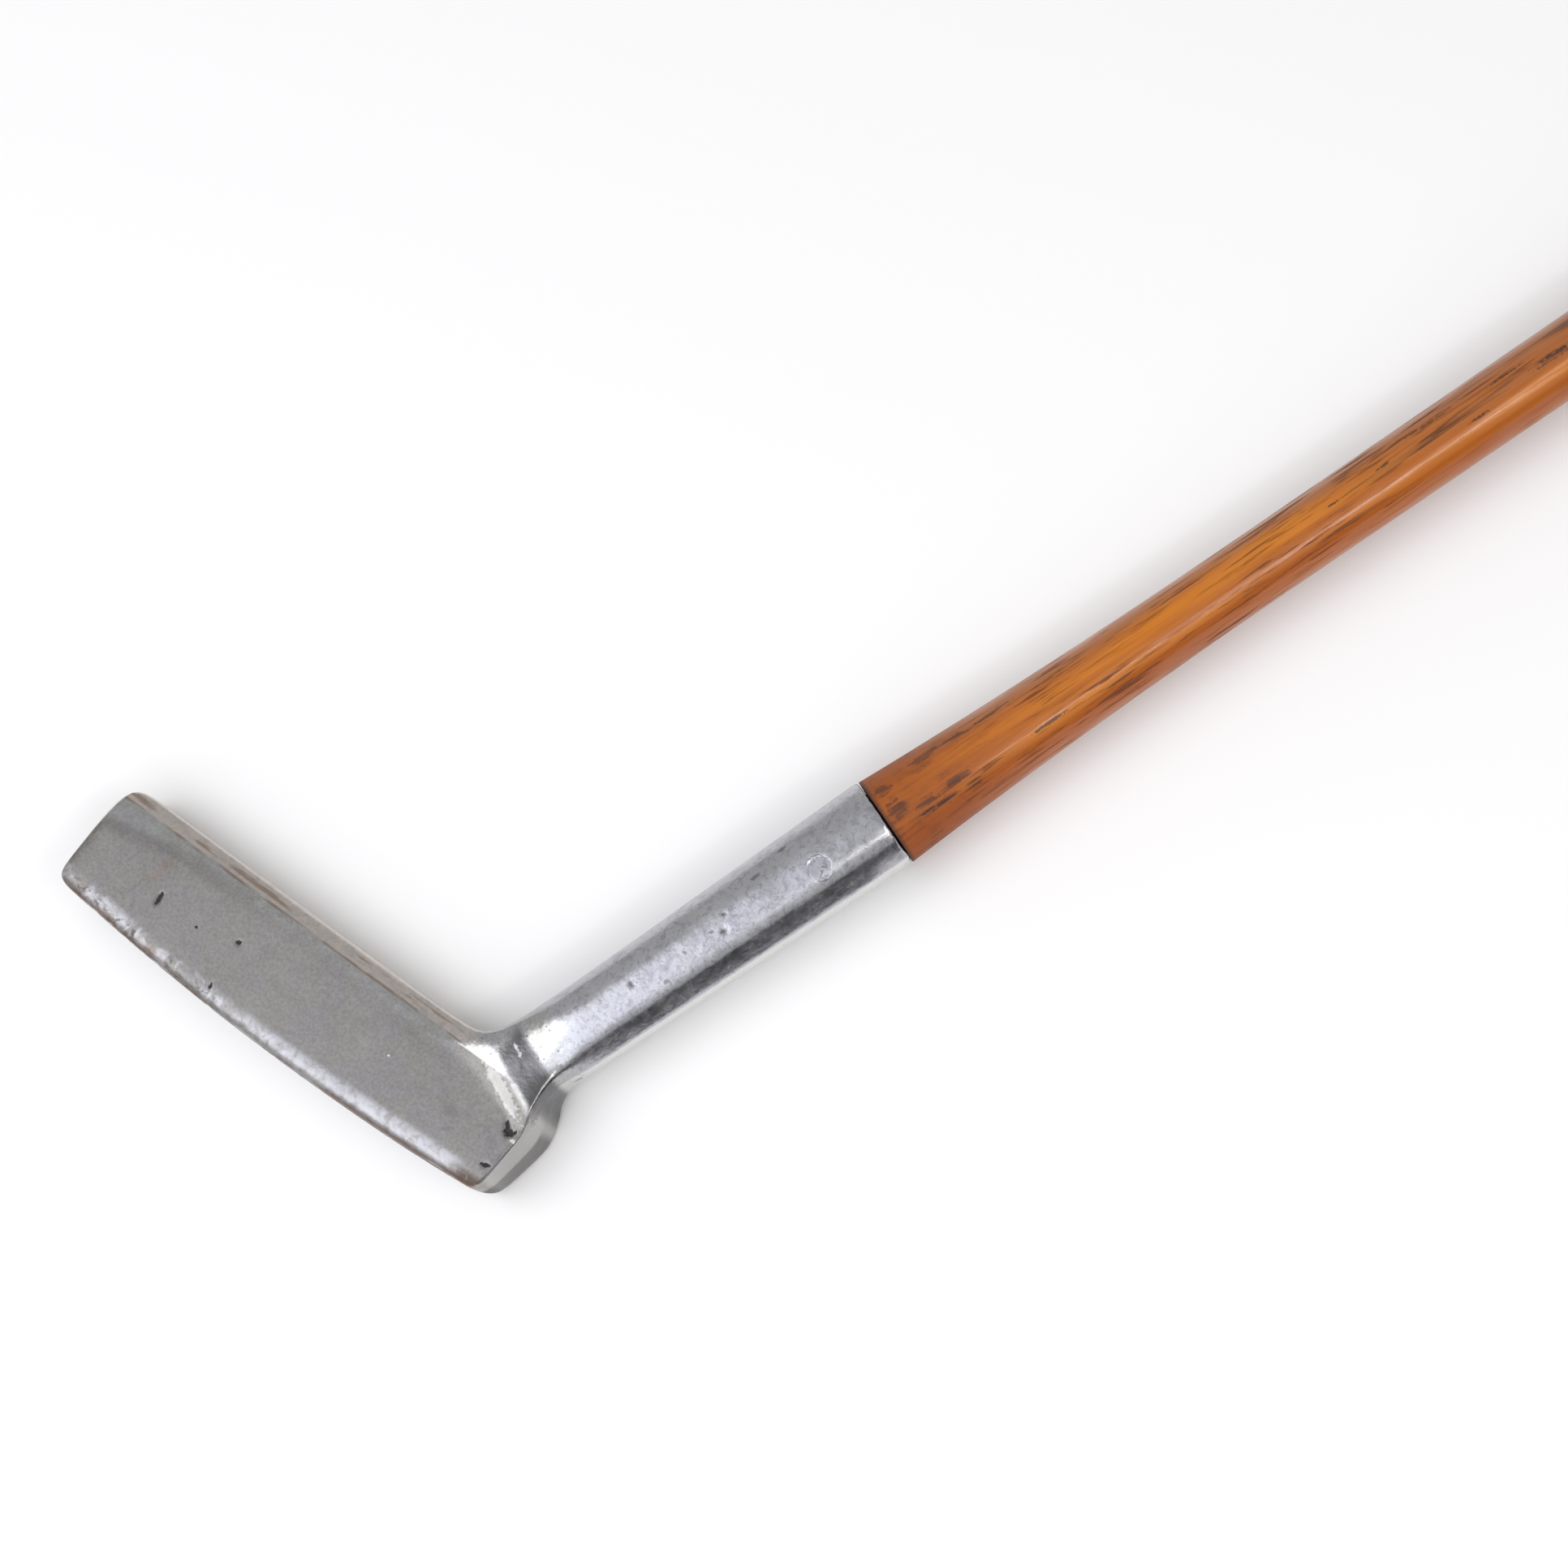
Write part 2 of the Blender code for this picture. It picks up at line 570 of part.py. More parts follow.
def make_whippings(club):
    """Waxed thread laid turn against turn, drawn as a ridged sleeve."""
    made = []
    for name, start in whipping_starts().items():
        profile = []
        for turn in range(WHIPPING_TURNS):
            for share, height in ((0.04, 0.5), (0.5, 1.0)):
                x = start + (turn + share) * THREAD_DIAMETER
                profile.append((x, thread_seat(x) + SEAT_GAP + height * THREAD_DIAMETER))
        end = start + WHIPPING_LENGTH
        profile.append((end, thread_seat(end) + SEAT_GAP + 0.5 * THREAD_DIAMETER))
        profile += [(x, thread_seat(x) + SEAT_GAP) for x in (end, profile[0][0])]
        made.append(add_object(name + "_whipping", turned(profile, THREAD_SIDES), WAXED_THREAD, club))
    return made


def tack_places():
    """Where each tack goes in, on the heel side beside its whipping."""
    starts = whipping_starts()
    lower = starts["lower"] + WHIPPING_LENGTH + TACK_FROM_WHIPPING
    upper = starts["butt"] - TACK_FROM_WHIPPING
    return {"lower": across_axis(lower, TACK_TURN), "butt": across_axis(upper, TACK_TURN)}


def make_tacks(club, drilled):
    """The tacks, each through the leather and cloth into the wood, with its hole cut in all three."""
    for name, place in tack_places().items():
        seat = leather_radius(place.translation.x, 1) + SEAT_GAP
        shank, head = TACK_SHANK / 2, TACK_HEAD / 2
        point = seat - TACK_LENGTH
        profile = [(point, 0), (point + 2 * TACK_SHANK, shank), (seat, shank), (seat, head),
                   (seat + 0.55 * TACK_HEAD_HEIGHT, 0.82 * head), (seat + TACK_HEAD_HEIGHT, 0.3 * head),
                   (seat + TACK_HEAD_HEIGHT, 0)]
        tack = add_object(name + "_tack", turned(profile, SMALL_SIDES), TACK_BRASS, club)
        tack.matrix_local = place
        end = point - SEAT_GAP
        bore = [(end, 0), (end, shank + FIT_GAP), (seat + TACK_HEAD, shank + FIT_GAP), (seat + TACK_HEAD, 0)]
        cutter = add_cutter(name + "_tack_hole", turned(bore, SMALL_SIDES), club)
        cutter.matrix_local = place
        for piece in drilled:
            boolean(piece, cutter)


# Laying it down

def solid_points(pieces):
    """Every corner of the finished pieces, in world space, and the middle of their weight."""
    bpy.context.view_layer.update()
    graph = bpy.context.evaluated_depsgraph_get()
    points, moment, weight = [], Vector(), 0
    for piece in pieces:
        evaluated = piece.evaluated_get(graph)
        mesh = evaluated.to_mesh()
        corners = [piece.matrix_world @ v.co for v in mesh.vertices]
        points += corners
        density = 7.8 if piece.name in ("putter_head", "hosel_pin") else 0.8
        mesh.calc_loop_triangles()
        for triangle in mesh.loop_triangles:
            a, b, c = (corners[i] for i in triangle.vertices)
            volume = a.dot(b.cross(c)) / 6 * density
            moment += (a + b + c) / 4 * volume
            weight += volume
        evaluated.to_mesh_clear()
    return points, moment / weight


def lay_down(club, pieces):
    """Rests the club on the floor under its own weight, face up, with the shaft along x and centred."""
    points, centre = solid_points(pieces)
    hull = bmesh.new()
    for point in points:
        hull.verts.new(point)
    made = bmesh.ops.convex_hull(hull, input=hull.verts)
    inside = [v for v in made["geom_interior"] + made["geom_unused"] if isinstance(v, bmesh.types.BMVert)]
    bmesh.ops.delete(hull, geom=list(set(inside)), context="VERTS")
    bmesh.ops.recalc_face_normals(hull, faces=hull.faces)
    tree = BVHTree.FromBMesh(hull)
    down = Vector((0, 0, -1))
    for _ in range(12):
        _, normal, _, _ = tree.ray_cast(centre, down)
        if normal.angle(down) < 1e-5:
            break
        down = normal
    hull.free()
    turn = down.rotation_difference(Vector((0, 0, -1))).to_matrix()
    along = turn @ Vector((1, 0, 0))
    straighten = Matrix.Rotation(-math.atan2(along.y, along.x), 3, "Z")
    turn = straighten @ turn
    laid = [turn @ point for point in points]
    low = Vector([min(p[i] for p in laid) for i in range(3)])
    high = Vector([max(p[i] for p in laid) for i in range(3)])
    place = Vector(((low.x + high.x) / -2, (low.y + high.y) / -2, -low.z))
    club.matrix_world = Matrix.Translation(place) @ turn.to_4x4()
    bpy.context.view_layer.update()


def main():
    """Clears the scene, makes each piece and lays the club down."""
    for old in list(bpy.data.objects):
        bpy.data.objects.remove(old)
    club = bpy.data.objects.new("club", None)
    bpy.context.scene.collection.objects.link(club)
    head = make_head(club)
    pin = make_pin(club)
    shaft = make_shaft(club)
    boolean(shaft, bpy.data.objects["pin_hole_cutter"])
    listing = make_listing(club)
    leather = make_leather(club)
    whippings = make_whippings(club)
    make_tacks(club, (leather, listing, shaft))
    tacks = [bpy.data.objects[name + "_tack"] for name in tack_places()]
    lay_down(club, [head, pin, shaft, listing, leather, *whippings, *tacks])


main()
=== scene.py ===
"""Dresses the putter's solids for the photograph's view: worn plated metal, varnished hickory, wound leather.

Sizes are metres and turns are radians. The club's own frame has x along the shaft to the butt, y to the
blade's toe and z out of the face, from the point where the shaft's axis meets the level of the top line. The
blade's frame shares that point, with x to the heel, y to the back and z up from the top line.
"""

import json
import logging
import math
from dataclasses import dataclass, field
from enum import Enum
from functools import partial, reduce

import bpy
import numpy as np
from mathutils import Matrix, Vector, noise


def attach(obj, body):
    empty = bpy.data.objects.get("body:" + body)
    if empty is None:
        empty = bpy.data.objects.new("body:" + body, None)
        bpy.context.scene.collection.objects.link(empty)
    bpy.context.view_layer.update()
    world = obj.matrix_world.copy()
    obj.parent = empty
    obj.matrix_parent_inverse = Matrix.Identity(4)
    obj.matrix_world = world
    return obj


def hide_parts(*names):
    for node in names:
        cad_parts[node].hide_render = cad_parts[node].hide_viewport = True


MM = 0.001
FULL_TURN = 2 * math.pi

Colour = tuple[float, float, float]
Range = tuple[float, float]
Band = tuple[float, float, float]
Socket = bpy.types.NodeSocket
Input = float | tuple | Socket

log = logging.getLogger("putter")
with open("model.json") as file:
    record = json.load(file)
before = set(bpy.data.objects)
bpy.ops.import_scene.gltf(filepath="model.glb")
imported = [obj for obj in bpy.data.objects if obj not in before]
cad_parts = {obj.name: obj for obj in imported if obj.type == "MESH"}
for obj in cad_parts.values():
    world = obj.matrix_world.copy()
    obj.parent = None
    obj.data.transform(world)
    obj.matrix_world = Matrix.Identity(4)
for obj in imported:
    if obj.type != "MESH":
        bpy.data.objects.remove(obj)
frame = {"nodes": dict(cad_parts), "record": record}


class Slot(Enum):
    """The record's material slots."""

    METAL = "plated_metal"
    PIN = "pin_steel"
    WOOD = "hickory"
    CLOTH = "cloth"
    LEATHER = "leather"
    THREAD = "waxed_thread"
    BRASS = "tack_brass"


# Where the club lies


@dataclass(frozen=True)
class ClubFrame:
    """The club's own frame in the world, and the sizes that place it."""

    club_length: float = 889 * MM
    blade_height: float = 25.1 * MM
    joint: float = 77.3 * MM
    lie: float = math.radians(69)

    @property
    def club_to_world(self) -> Matrix:
        """The frame along the shaft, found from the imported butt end.

        Returns:
            The matrix from the club's frame to the world.
        """
        butt = next(m for m in frame["record"]["mounts"] if m["name"] == "butt_end")
        along = Vector(butt["axis"]).normalized()
        toeward = Vector((0, 0, 1)).cross(along).normalized()
        outward = along.cross(toeward)
        reach = self.club_length - self.blade_height / math.sin(self.lie)
        origin = Vector(butt["pos_m"]) - along * reach
        turn = Matrix((along, toeward, outward)).transposed()
        return Matrix.Translation(origin) @ turn.to_4x4()

    @property
    def blade_to_world(self) -> Matrix:
        """The frame along the blade's top line.

        Returns:
            The matrix from the blade's frame to the world.
        """
        lie_cos, lie_sin = math.cos(self.lie), math.sin(self.lie)
        blade = Matrix(((lie_cos, 0, lie_sin, 0), (-lie_sin, 0, lie_cos, 0), (0, -1, 0, 0), (0, 0, 0, 1)))
        return self.club_to_world @ blade

    def in_club(self, node: str) -> np.ndarray:
        """Corners of a CAD node in the club's frame.

        Args:
            node: the CAD node's name.

        Returns:
            An array of points, one row each.
        """
        return points_in(frame["nodes"][node].data, self.club_to_world.inverted())


def points_in(mesh: bpy.types.Mesh, matrix: Matrix) -> np.ndarray:
    """A mesh's points after a matrix.

    Args:
        mesh: the mesh to read.
        matrix: what to apply to its points.

    Returns:
        An array of points, one row each.
    """
    flat = np.empty(len(mesh.vertices) * 3)
    mesh.vertices.foreach_get("co", flat)
    turn = np.array(matrix.to_3x3())
    return flat.reshape(-1, 3) @ turn.T + np.array(matrix.translation)


def store_points(mesh: bpy.types.Mesh, points: np.ndarray, matrix: Matrix) -> None:
    """Writes points back to a mesh after a matrix.

    Args:
        mesh: the mesh to change.
        points: its new points, one row each.
        matrix: takes them to the mesh's own frame.
    """
    turn = np.array(matrix.to_3x3())
    placed = points @ turn.T + np.array(matrix.translation)
    mesh.vertices.foreach_set("co", placed.ravel())
    mesh.update()


CLUB = ClubFrame()


# Node helpers and shared groups


@dataclass(frozen=True)
class Tone:
    """A colour laid over another, and the most that it covers."""

    share: float
    colour: Colour


class Nodes:
    """Adds and links nodes in one node tree."""

    MIX_COLOURS = (6, 7)
    MIX_RESULT = 2

    def __init__(self, tree: bpy.types.NodeTree) -> None:
        """Takes the tree that the nodes go into."""
        self.tree = tree

    def feed(self, socket: Socket, value: Input) -> None:
        """Links an output to an input, or sets the input's constant.

        Args:
            socket: the input.
            value: a constant, or the output to link.
        """
        if isinstance(value, Socket):
            self.tree.links.new(value, socket)
        else:
            socket.default_value = value

    def add(self, kind: str, inputs: dict[str | int, Input] | None = None,
            **settings: object) -> bpy.types.Node:
        """A node with its inputs set or linked.

        Args:
            kind: the node's type.
            inputs: socket name or index to a value or an output socket.
            **settings: properties of the node.

        Returns:
            The new node.
        """
        node = self.tree.nodes.new(kind)
        for name, value in settings.items():
            setattr(node, name, value)
        for name, value in (inputs or {}).items():
            self.feed(node.inputs[name], value)
        return node

    def math(self, operation: str, a: Input, b: Input = 0.0) -> Socket:
        """The result of a Math node."""
        return self.add("ShaderNodeMath", {0: a, 1: b}, operation=operation).outputs[0]

    def mix(self, factor: Input, a: Input, b: Input, blend: str = "MIX") -> Socket:
        """A colour mixed from two.

        Args:
            factor: how much of the second one shows.
            a: the first colour.
            b: the second colour.
            blend: how they are mixed.

        Returns:
            The mixed colour.
        """
        node = self.add("ShaderNodeMix", data_type="RGBA", blend_type=blend)
        self.feed(node.inputs[0], factor)
        for socket, colour in zip(self.MIX_COLOURS, (a, b)):
            self.feed(node.inputs[socket], (*colour, 1) if isinstance(colour, tuple) else colour)
        return node.outputs[self.MIX_RESULT]

    def both(self, *masks: Socket) -> Socket:
        """Where all the masks overlap."""
        return reduce(partial(self.math, "MULTIPLY"), masks)

    def either(self, *masks: Socket) -> Socket:
        """Where any of the masks lies."""
        return reduce(partial(self.math, "MAXIMUM"), masks)

    def total(self, start: Input, *parts: tuple[Socket, float]) -> Socket:
        """A start value with each mask added in its share.

        Args:
            start: the value without the masks.
            *parts: each mask with its share.

        Returns:
            The sum's socket.
        """
        for mask, share in parts:
            start = self.math("ADD", start, self.math("MULTIPLY", mask, share))
        return start

    def less(self, mask: Socket, share: float = 1.0) -> Socket:
        """One where the mask is nothing, and less by its share elsewhere."""
        return self.math("SUBTRACT", 1.0, self.math("MULTIPLY", mask, share))

    def between(self, value: Input, low: float, high: float) -> Socket:
        """A mask that rises from nothing at low to one at high, which may be the lower of the two.

        Args:
            value: what is measured.
            low: where the mask is nothing.
            high: where it is one.

        Returns:
            The mask.
        """
        falls = low > high
        ends = {"From Min": min(low, high), "From Max": max(low, high),
                "To Min": float(falls), "To Max": float(not falls)}
        ramped = self.add("ShaderNodeMapRange", {"Value": value, **ends}, interpolation_type="SMOOTHSTEP")
        return ramped.outputs[0]

    def band(self, value: Input, low: float, high: float, soft: float) -> Socket:
        """One from low to high, fading to zero over a soft width outside."""
        return self.both(self.between(value, low - soft, low), self.between(value, high + soft, high))

    def paint(self, colour: Input, mask: Socket, tone: Tone) -> Socket:
        """A tone laid over a colour through a mask."""
        return self.mix(self.math("MULTIPLY", mask, tone.share), colour, tone.colour)

    def noise(self, vector: Socket, scale: float, detail: float = 3.0, roughness: float = 0.55) -> Socket:
        """The value of a noise texture."""
        return self.add("ShaderNodeTexNoise", {"Vector": vector, "Scale": scale, "Detail": detail,
                                               "Roughness": roughness}).outputs["Fac"]

    def placed(self, vector: Socket, matrix: Matrix) -> Socket:
        """Object coordinates turned into another frame by a Mapping node.

        Args:
            vector: world-placed object coordinates.
            matrix: that frame in the world.

        Returns:
            The coordinates in that frame.
        """
        back = matrix.inverted()
        return self.add("ShaderNodeMapping", {"Vector": vector, "Location": back.translation,
                                              "Rotation": back.to_euler()}).outputs[0]


VALUE, VECTOR = "NodeSocketFloat", "NodeSocketVector"


def mask_group(name: str, inputs: dict[str, tuple]
               ) -> tuple[bpy.types.NodeTree, Nodes, dict[str, Socket], Socket]:
    """An empty node group that reads coordinates and puts out one mask.

    Args:
        name: the group's name.
        inputs: socket name to its type and default value, past the coordinates.

    Returns:
        The group, its node helper, the sockets inside it by name, and the one that takes the mask.
    """
    tree = bpy.data.node_groups.new(name, "ShaderNodeTree")
    for socket, (kind, value) in {"Vector": (VECTOR, (0, 0, 0)), **inputs}.items():
        made = tree.interface.new_socket(socket, in_out="INPUT", socket_type=kind)
        made.default_value = value
    tree.interface.new_socket("Mask", in_out="OUTPUT", socket_type=VALUE)
    start, end = (tree.nodes.new(kind) for kind in ("NodeGroupInput", "NodeGroupOutput"))
    given = {socket.name: socket for socket in start.outputs if socket.name}
    return tree, Nodes(tree), given, end.inputs["Mask"]


@dataclass
class Effects:
    """Shader node groups that more than one finish uses, each built once."""

    speck_wobble: float = 0.6 * MM
    speck_edge: float = 0.10
    ripples_per_metre: float = 1500.0
    ripple_share: float = 3.0
    spot_rim: Range = (1.15, 0.75)

    def __post_init__(self) -> None:
        """Builds the groups."""
        self.blotches = self._blotches()
        self.specks = self._specks()
        self.streaks = self._streaks()
        self.spot = self._spot()

    def _blotches(self) -> bpy.types.NodeTree:
        """Soft irregular patches.

        Returns:
            The group.
        """
        tree, nodes, given, end = mask_group("soft_blotches", {
            "Per Metre": (VALUE, 100.0), "Cover": (VALUE, 0.5), "Softness": (VALUE, 0.12)})
        warp = nodes.add("ShaderNodeTexNoise", {"Vector": given["Vector"], "Scale": given["Per Metre"],
                                                "Detail": 4.0, "Roughness": 0.6, "Distortion": 0.6})
        edge = nodes.math("SUBTRACT", 1.0, given["Cover"])
        low = nodes.math("SUBTRACT", edge, given["Softness"])
        high = nodes.math("ADD", edge, given["Softness"])
        mask = nodes.add("ShaderNodeMapRange", {"Value": warp.outputs["Fac"], "From Min": low,
                                                "From Max": high}, interpolation_type="SMOOTHSTEP")
        tree.links.new(mask.outputs[0], end)
        return tree

    def _specks(self) -> bpy.types.NodeTree:
        """Small scattered dots, some cells empty.

        Returns:
            The group.
        """
        tree, nodes, given, end = mask_group("specks", {
            "Per Metre": (VALUE, 800.0), "Radius": (VALUE, 0.22), "Share": (VALUE, 0.3)})
        wobble = nodes.add("ShaderNodeTexNoise", {"Vector": given["Vector"], "Scale": given["Per Metre"],
                                                  "Detail": 2.0})
        shift = nodes.add("ShaderNodeVectorMath", {0: wobble.outputs["Color"], "Scale": self.speck_wobble},
                          operation="SCALE")
        bent = nodes.add("ShaderNodeVectorMath", {0: given["Vector"], 1: shift.outputs[0]}, operation="ADD")
        cells = nodes.add("ShaderNodeTexVoronoi", {"Vector": bent.outputs[0], "Scale": given["Per Metre"]},
                          feature="F1")
        dot = nodes.math("SUBTRACT", given["Radius"], cells.outputs["Distance"])
        edge = nodes.between(dot, 0.0, self.speck_edge)
        pick = nodes.add("ShaderNodeSeparateColor", {0: cells.outputs["Color"]})
        chosen = nodes.math("LESS_THAN", pick.outputs[0], given["Share"])
        tree.links.new(nodes.both(edge, chosen), end)
        return tree

    def _streaks(self) -> bpy.types.NodeTree:
        """Long thin lines along x.

        Returns:
            The group.
        """
        tree, nodes, given, end = mask_group("streaks", {
            "Per Metre": (VALUE, 1200.0), "Stretch": (VALUE, 30.0)})
        parts = nodes.add("ShaderNodeSeparateXYZ", {0: given["Vector"]})
        short = nodes.math("DIVIDE", parts.outputs[0], given["Stretch"])
        drawn = nodes.add("ShaderNodeCombineXYZ", {0: short, 1: parts.outputs[1], 2: parts.outputs[2]})
        lines = nodes.add("ShaderNodeTexNoise", {"Vector": drawn.outputs[0], "Scale": given["Per Metre"],
                                                 "Detail": 4.0, "Roughness": 0.6})
        tree.links.new(lines.outputs["Fac"], end)
        return tree

    def _spot(self) -> bpy.types.NodeTree:
        """One ragged oval mark at a given place.

        Returns:
            The group.
        """
        tree, nodes, given, end = mask_group("placed_spot", {
            "Centre": (VECTOR, (0, 0, 0)), "Turn": (VECTOR, (0, 0, 0)), "Half Size": (VECTOR, (1, 1, 1)),
            "Ragged": (VALUE, 0.25)})
        local = nodes.add("ShaderNodeMapping", {"Vector": given["Vector"], "Location": given["Centre"],
                                                "Rotation": given["Turn"], "Scale": given["Half Size"]},
                          vector_type="TEXTURE")
        reach = nodes.add("ShaderNodeVectorMath", {0: local.outputs[0]}, operation="LENGTH")
        ripple = nodes.noise(given["Vector"], self.ripples_per_metre, detail=2.0)
        shift = nodes.math("MULTIPLY", nodes.math("SUBTRACT", ripple, 0.5), given["Ragged"])
        size = nodes.total(reach.outputs["Value"], (shift, self.ripple_share))
        tree.links.new(nodes.between(size, *self.spot_rim), end)
        return tree


EFFECTS = Effects()


class Surface:
    """A material being built: its Principled shader and its coordinates in the club's frame."""

    def __init__(self, name: str, colour: Colour, roughness: float, metallic: float = 0.0) -> None:
        """Starts a plain material.

        Args:
            name: the material's name.
            colour: its plain colour.
            roughness: how rough it is.
            metallic: one for bare metal.
        """
        self.material = bpy.data.materials.new(name)
        self.material.use_nodes = True
        self.material.diffuse_color = (*colour, 1)
        self.nodes = Nodes(self.material.node_tree)
        self.shader = self.material.node_tree.nodes["Principled BSDF"]
        self.set("Base Color", (*colour, 1))
        self.set("Roughness", roughness)
        self.set("Metallic", metallic)
        self.here = self.nodes.add("ShaderNodeTexCoord").outputs["Object"]
        self.club = self.nodes.placed(self.here, CLUB.club_to_world)

    def along_and_turn(self) -> tuple[Socket, Socket]:
        """Where a point lies along the shaft's axis, and how far round it from the face to the heel side.

        Returns:
            The distance and the angle.
        """
        along, aside, up = self.nodes.add("ShaderNodeSeparateXYZ", {0: self.club}).outputs
        return along, self.nodes.math("ARCTAN2", self.nodes.math("MULTIPLY", aside, -1.0), up)

    def set(self, socket: str, value: Input) -> None:
        """Sets or links one of the shader's inputs.

        Args:
            socket: the input's name.
            value: a constant, or the output to link.
        """
        self.nodes.feed(self.shader.inputs[socket], value)

    def effect(self, tree: bpy.types.NodeTree, vector: Socket, **inputs: float | tuple) -> Socket:
        """Places a shared group.

        Args:
            tree: the group.
            vector: the coordinates it reads.
            **inputs: values of its other inputs, with underscores for the spaces in their names.

        Returns:
            The group's mask.
        """
        sizes = {name.replace("_", " "): value for name, value in inputs.items()}
        return self.nodes.add("ShaderNodeGroup", {"Vector": vector, **sizes}, node_tree=tree).outputs[0]

    def bump(self, height: Socket, distance: float, strength: float = 1.0,
             after: Socket | None = None) -> Socket:
        """A Bump node.

        Args:
            height: what stands proud or sinks.
            distance: how far.
            strength: its share.
            after: an earlier bump's normal.

        Returns:
            The bumped normal.
        """
        inputs = {"Height": height, "Distance": distance, "Strength": strength}
        if after is not None:
            inputs["Normal"] = after
        return self.nodes.add("ShaderNodeBump", inputs).outputs[0]


# Modelling helpers


WELD = MM / 1000
FLAT_QUAD = math.radians(25)
SQUARE_QUAD = math.radians(60)
HARD_EDGE = math.radians(32)
SOFT_EDGE = math.radians(40)


def select_only(piece: bpy.types.Object) -> None:
    """Makes one object the only selected and active one.

    Args:
        piece: that object.
    """
    bpy.ops.object.select_all(action="DESELECT")
    piece.select_set(True)
    bpy.context.view_layer.objects.active = piece


def apply_all(piece: bpy.types.Object) -> None:
    """Applies every modifier of a piece.

    Args:
        piece: the piece.
    """
    select_only(piece)
    for modifier in list(piece.modifiers):
        bpy.ops.object.modifier_apply(modifier=modifier.name)


def ramp(values: np.ndarray, low: float, high: float) -> np.ndarray:
    """Rises from nothing at low to one at high, which may be the lower of the two."""
    return np.clip((values - low) / (high - low), 0, 1)


def dome(*reaches: np.ndarray) -> np.ndarray:
    """One at the middle of an oval, down to nothing where its reaches come to one."""
    return np.clip(1 - sum(reach ** 2 for reach in reaches), 0, 1)


def smooth(piece: bpy.types.Object, sharp: float = SOFT_EDGE) -> None:
    """Smooth shading with hard edges past an angle."""
    select_only(piece)
    bpy.ops.object.shade_smooth_by_angle(angle=sharp)


def solid_copy(node: str, name: str, levels: int) -> bpy.types.Object:
    """A CAD node's shape as a new piece with whole faces, rounded further.

    Args:
        node: the CAD node to copy.
        name: the new piece's name.
        levels: how often each face is divided.

    Returns:
        The new piece.
    """
    piece = bpy.data.objects.new(name, frame["nodes"][node].data.copy())
    bpy.context.scene.collection.objects.link(piece)
    piece.data.materials.clear()
    select_only(piece)
    bpy.ops.object.mode_set(mode="EDIT")
    bpy.ops.mesh.select_all(action="SELECT")
    bpy.ops.mesh.remove_doubles(threshold=WELD)
    bpy.ops.mesh.tris_convert_to_quads(face_threshold=FLAT_QUAD, shape_threshold=SQUARE_QUAD)
    bpy.ops.mesh.select_all(action="DESELECT")
    bpy.ops.mesh.edges_select_sharp(sharpness=HARD_EDGE)
    bpy.ops.transform.edge_crease(value=1)
    bpy.ops.object.mode_set(mode="OBJECT")
    if levels:
        rounded = piece.modifiers.new("rounded", "SUBSURF")
        rounded.levels = rounded.render_levels = levels
        apply_all(piece)
    return piece


def dress(piece: bpy.types.Object, material: bpy.types.Material, slot: Slot, *nodes: str) -> None:
    """Gives a piece its finish, its body and the CAD nodes that it stands for.

    Args:
        piece: the piece.
        material: its finish.
        slot: the record's slot for the material; not used.
        *nodes: CAD nodes it replaces.
    """
    piece.data.materials.clear()
    piece.data.materials.append(material)
    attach(piece, "root")
    if nodes:
        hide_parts(*nodes)
    log.info("%s: %d faces", piece.name, len(piece.data.polygons))


# Metal head


@dataclass(frozen=True)
class Mark:
    """A pit, stain, rubbed light spot or painted highlight on the face, placed in the blade's frame.

    Its depth is how far it is sunk, and its half depth how far its colour reaches into the metal.
    """

    x: float
    z: float
    half_length: float
    half_width: float
    turn: float = 0.0
    depth: float = 0.0
    half_depth: float = 4 * MM


def mark(x: float, z: float, length: float, width: float, degrees: float = 0.0, depth: float = 0.0) -> Mark:
    """A mark from millimetres and degrees.

    Args:
        x: its place towards the heel.
        z: its place above the top line.
        length: half its length.
        width: half its width.
        degrees: how far its length turns from the top line.
        depth: how deep it goes.

    Returns:
        The mark in metres and radians.
    """
    return Mark(x * MM, z * MM, length * MM, width * MM, math.radians(degrees), depth * MM)


@dataclass(frozen=True)
class RoundMark:
    """A mark on a round piece, placed along the axis and round it from the face to the heel side."""

    along: float
    round: float
    half_length: float
    half_width: float
    depth: float = 0.0
    half_depth: float = 2 * MM


def round_mark(along: float, degrees: float, length: float, width: float, depth: float = 0.0) -> RoundMark:
    """A mark on a round piece from millimetres and degrees.

    Args:
        along: its place along the axis.
        degrees: its place round it.
        length: half its length along the axis.
        width: half its width.
        depth: how deep it goes.

    Returns:
        The mark in metres and radians.
    """
    return RoundMark(along * MM, math.radians(degrees), length * MM, width * MM, depth * MM)


def marks_round(surface: Surface, marks: tuple[RoundMark, ...], radius: float, ragged: float) -> Socket:
    """One mask for marks on a round piece.

    Args:
        surface: the material being built.
        marks: the marks.
        radius: the piece's radius near them.
        ragged: how uneven their edges are.

    Returns:
        The mask.
    """
    return surface.nodes.either(*(surface.effect(
        EFFECTS.spot, surface.club, Ragged=ragged, Turn=(one.round, 0, 0),
        Centre=(one.along, -radius * math.sin(one.round), radius * math.cos(one.round)),
        Half_Size=(one.half_length, one.half_width, one.half_depth)) for one in marks))


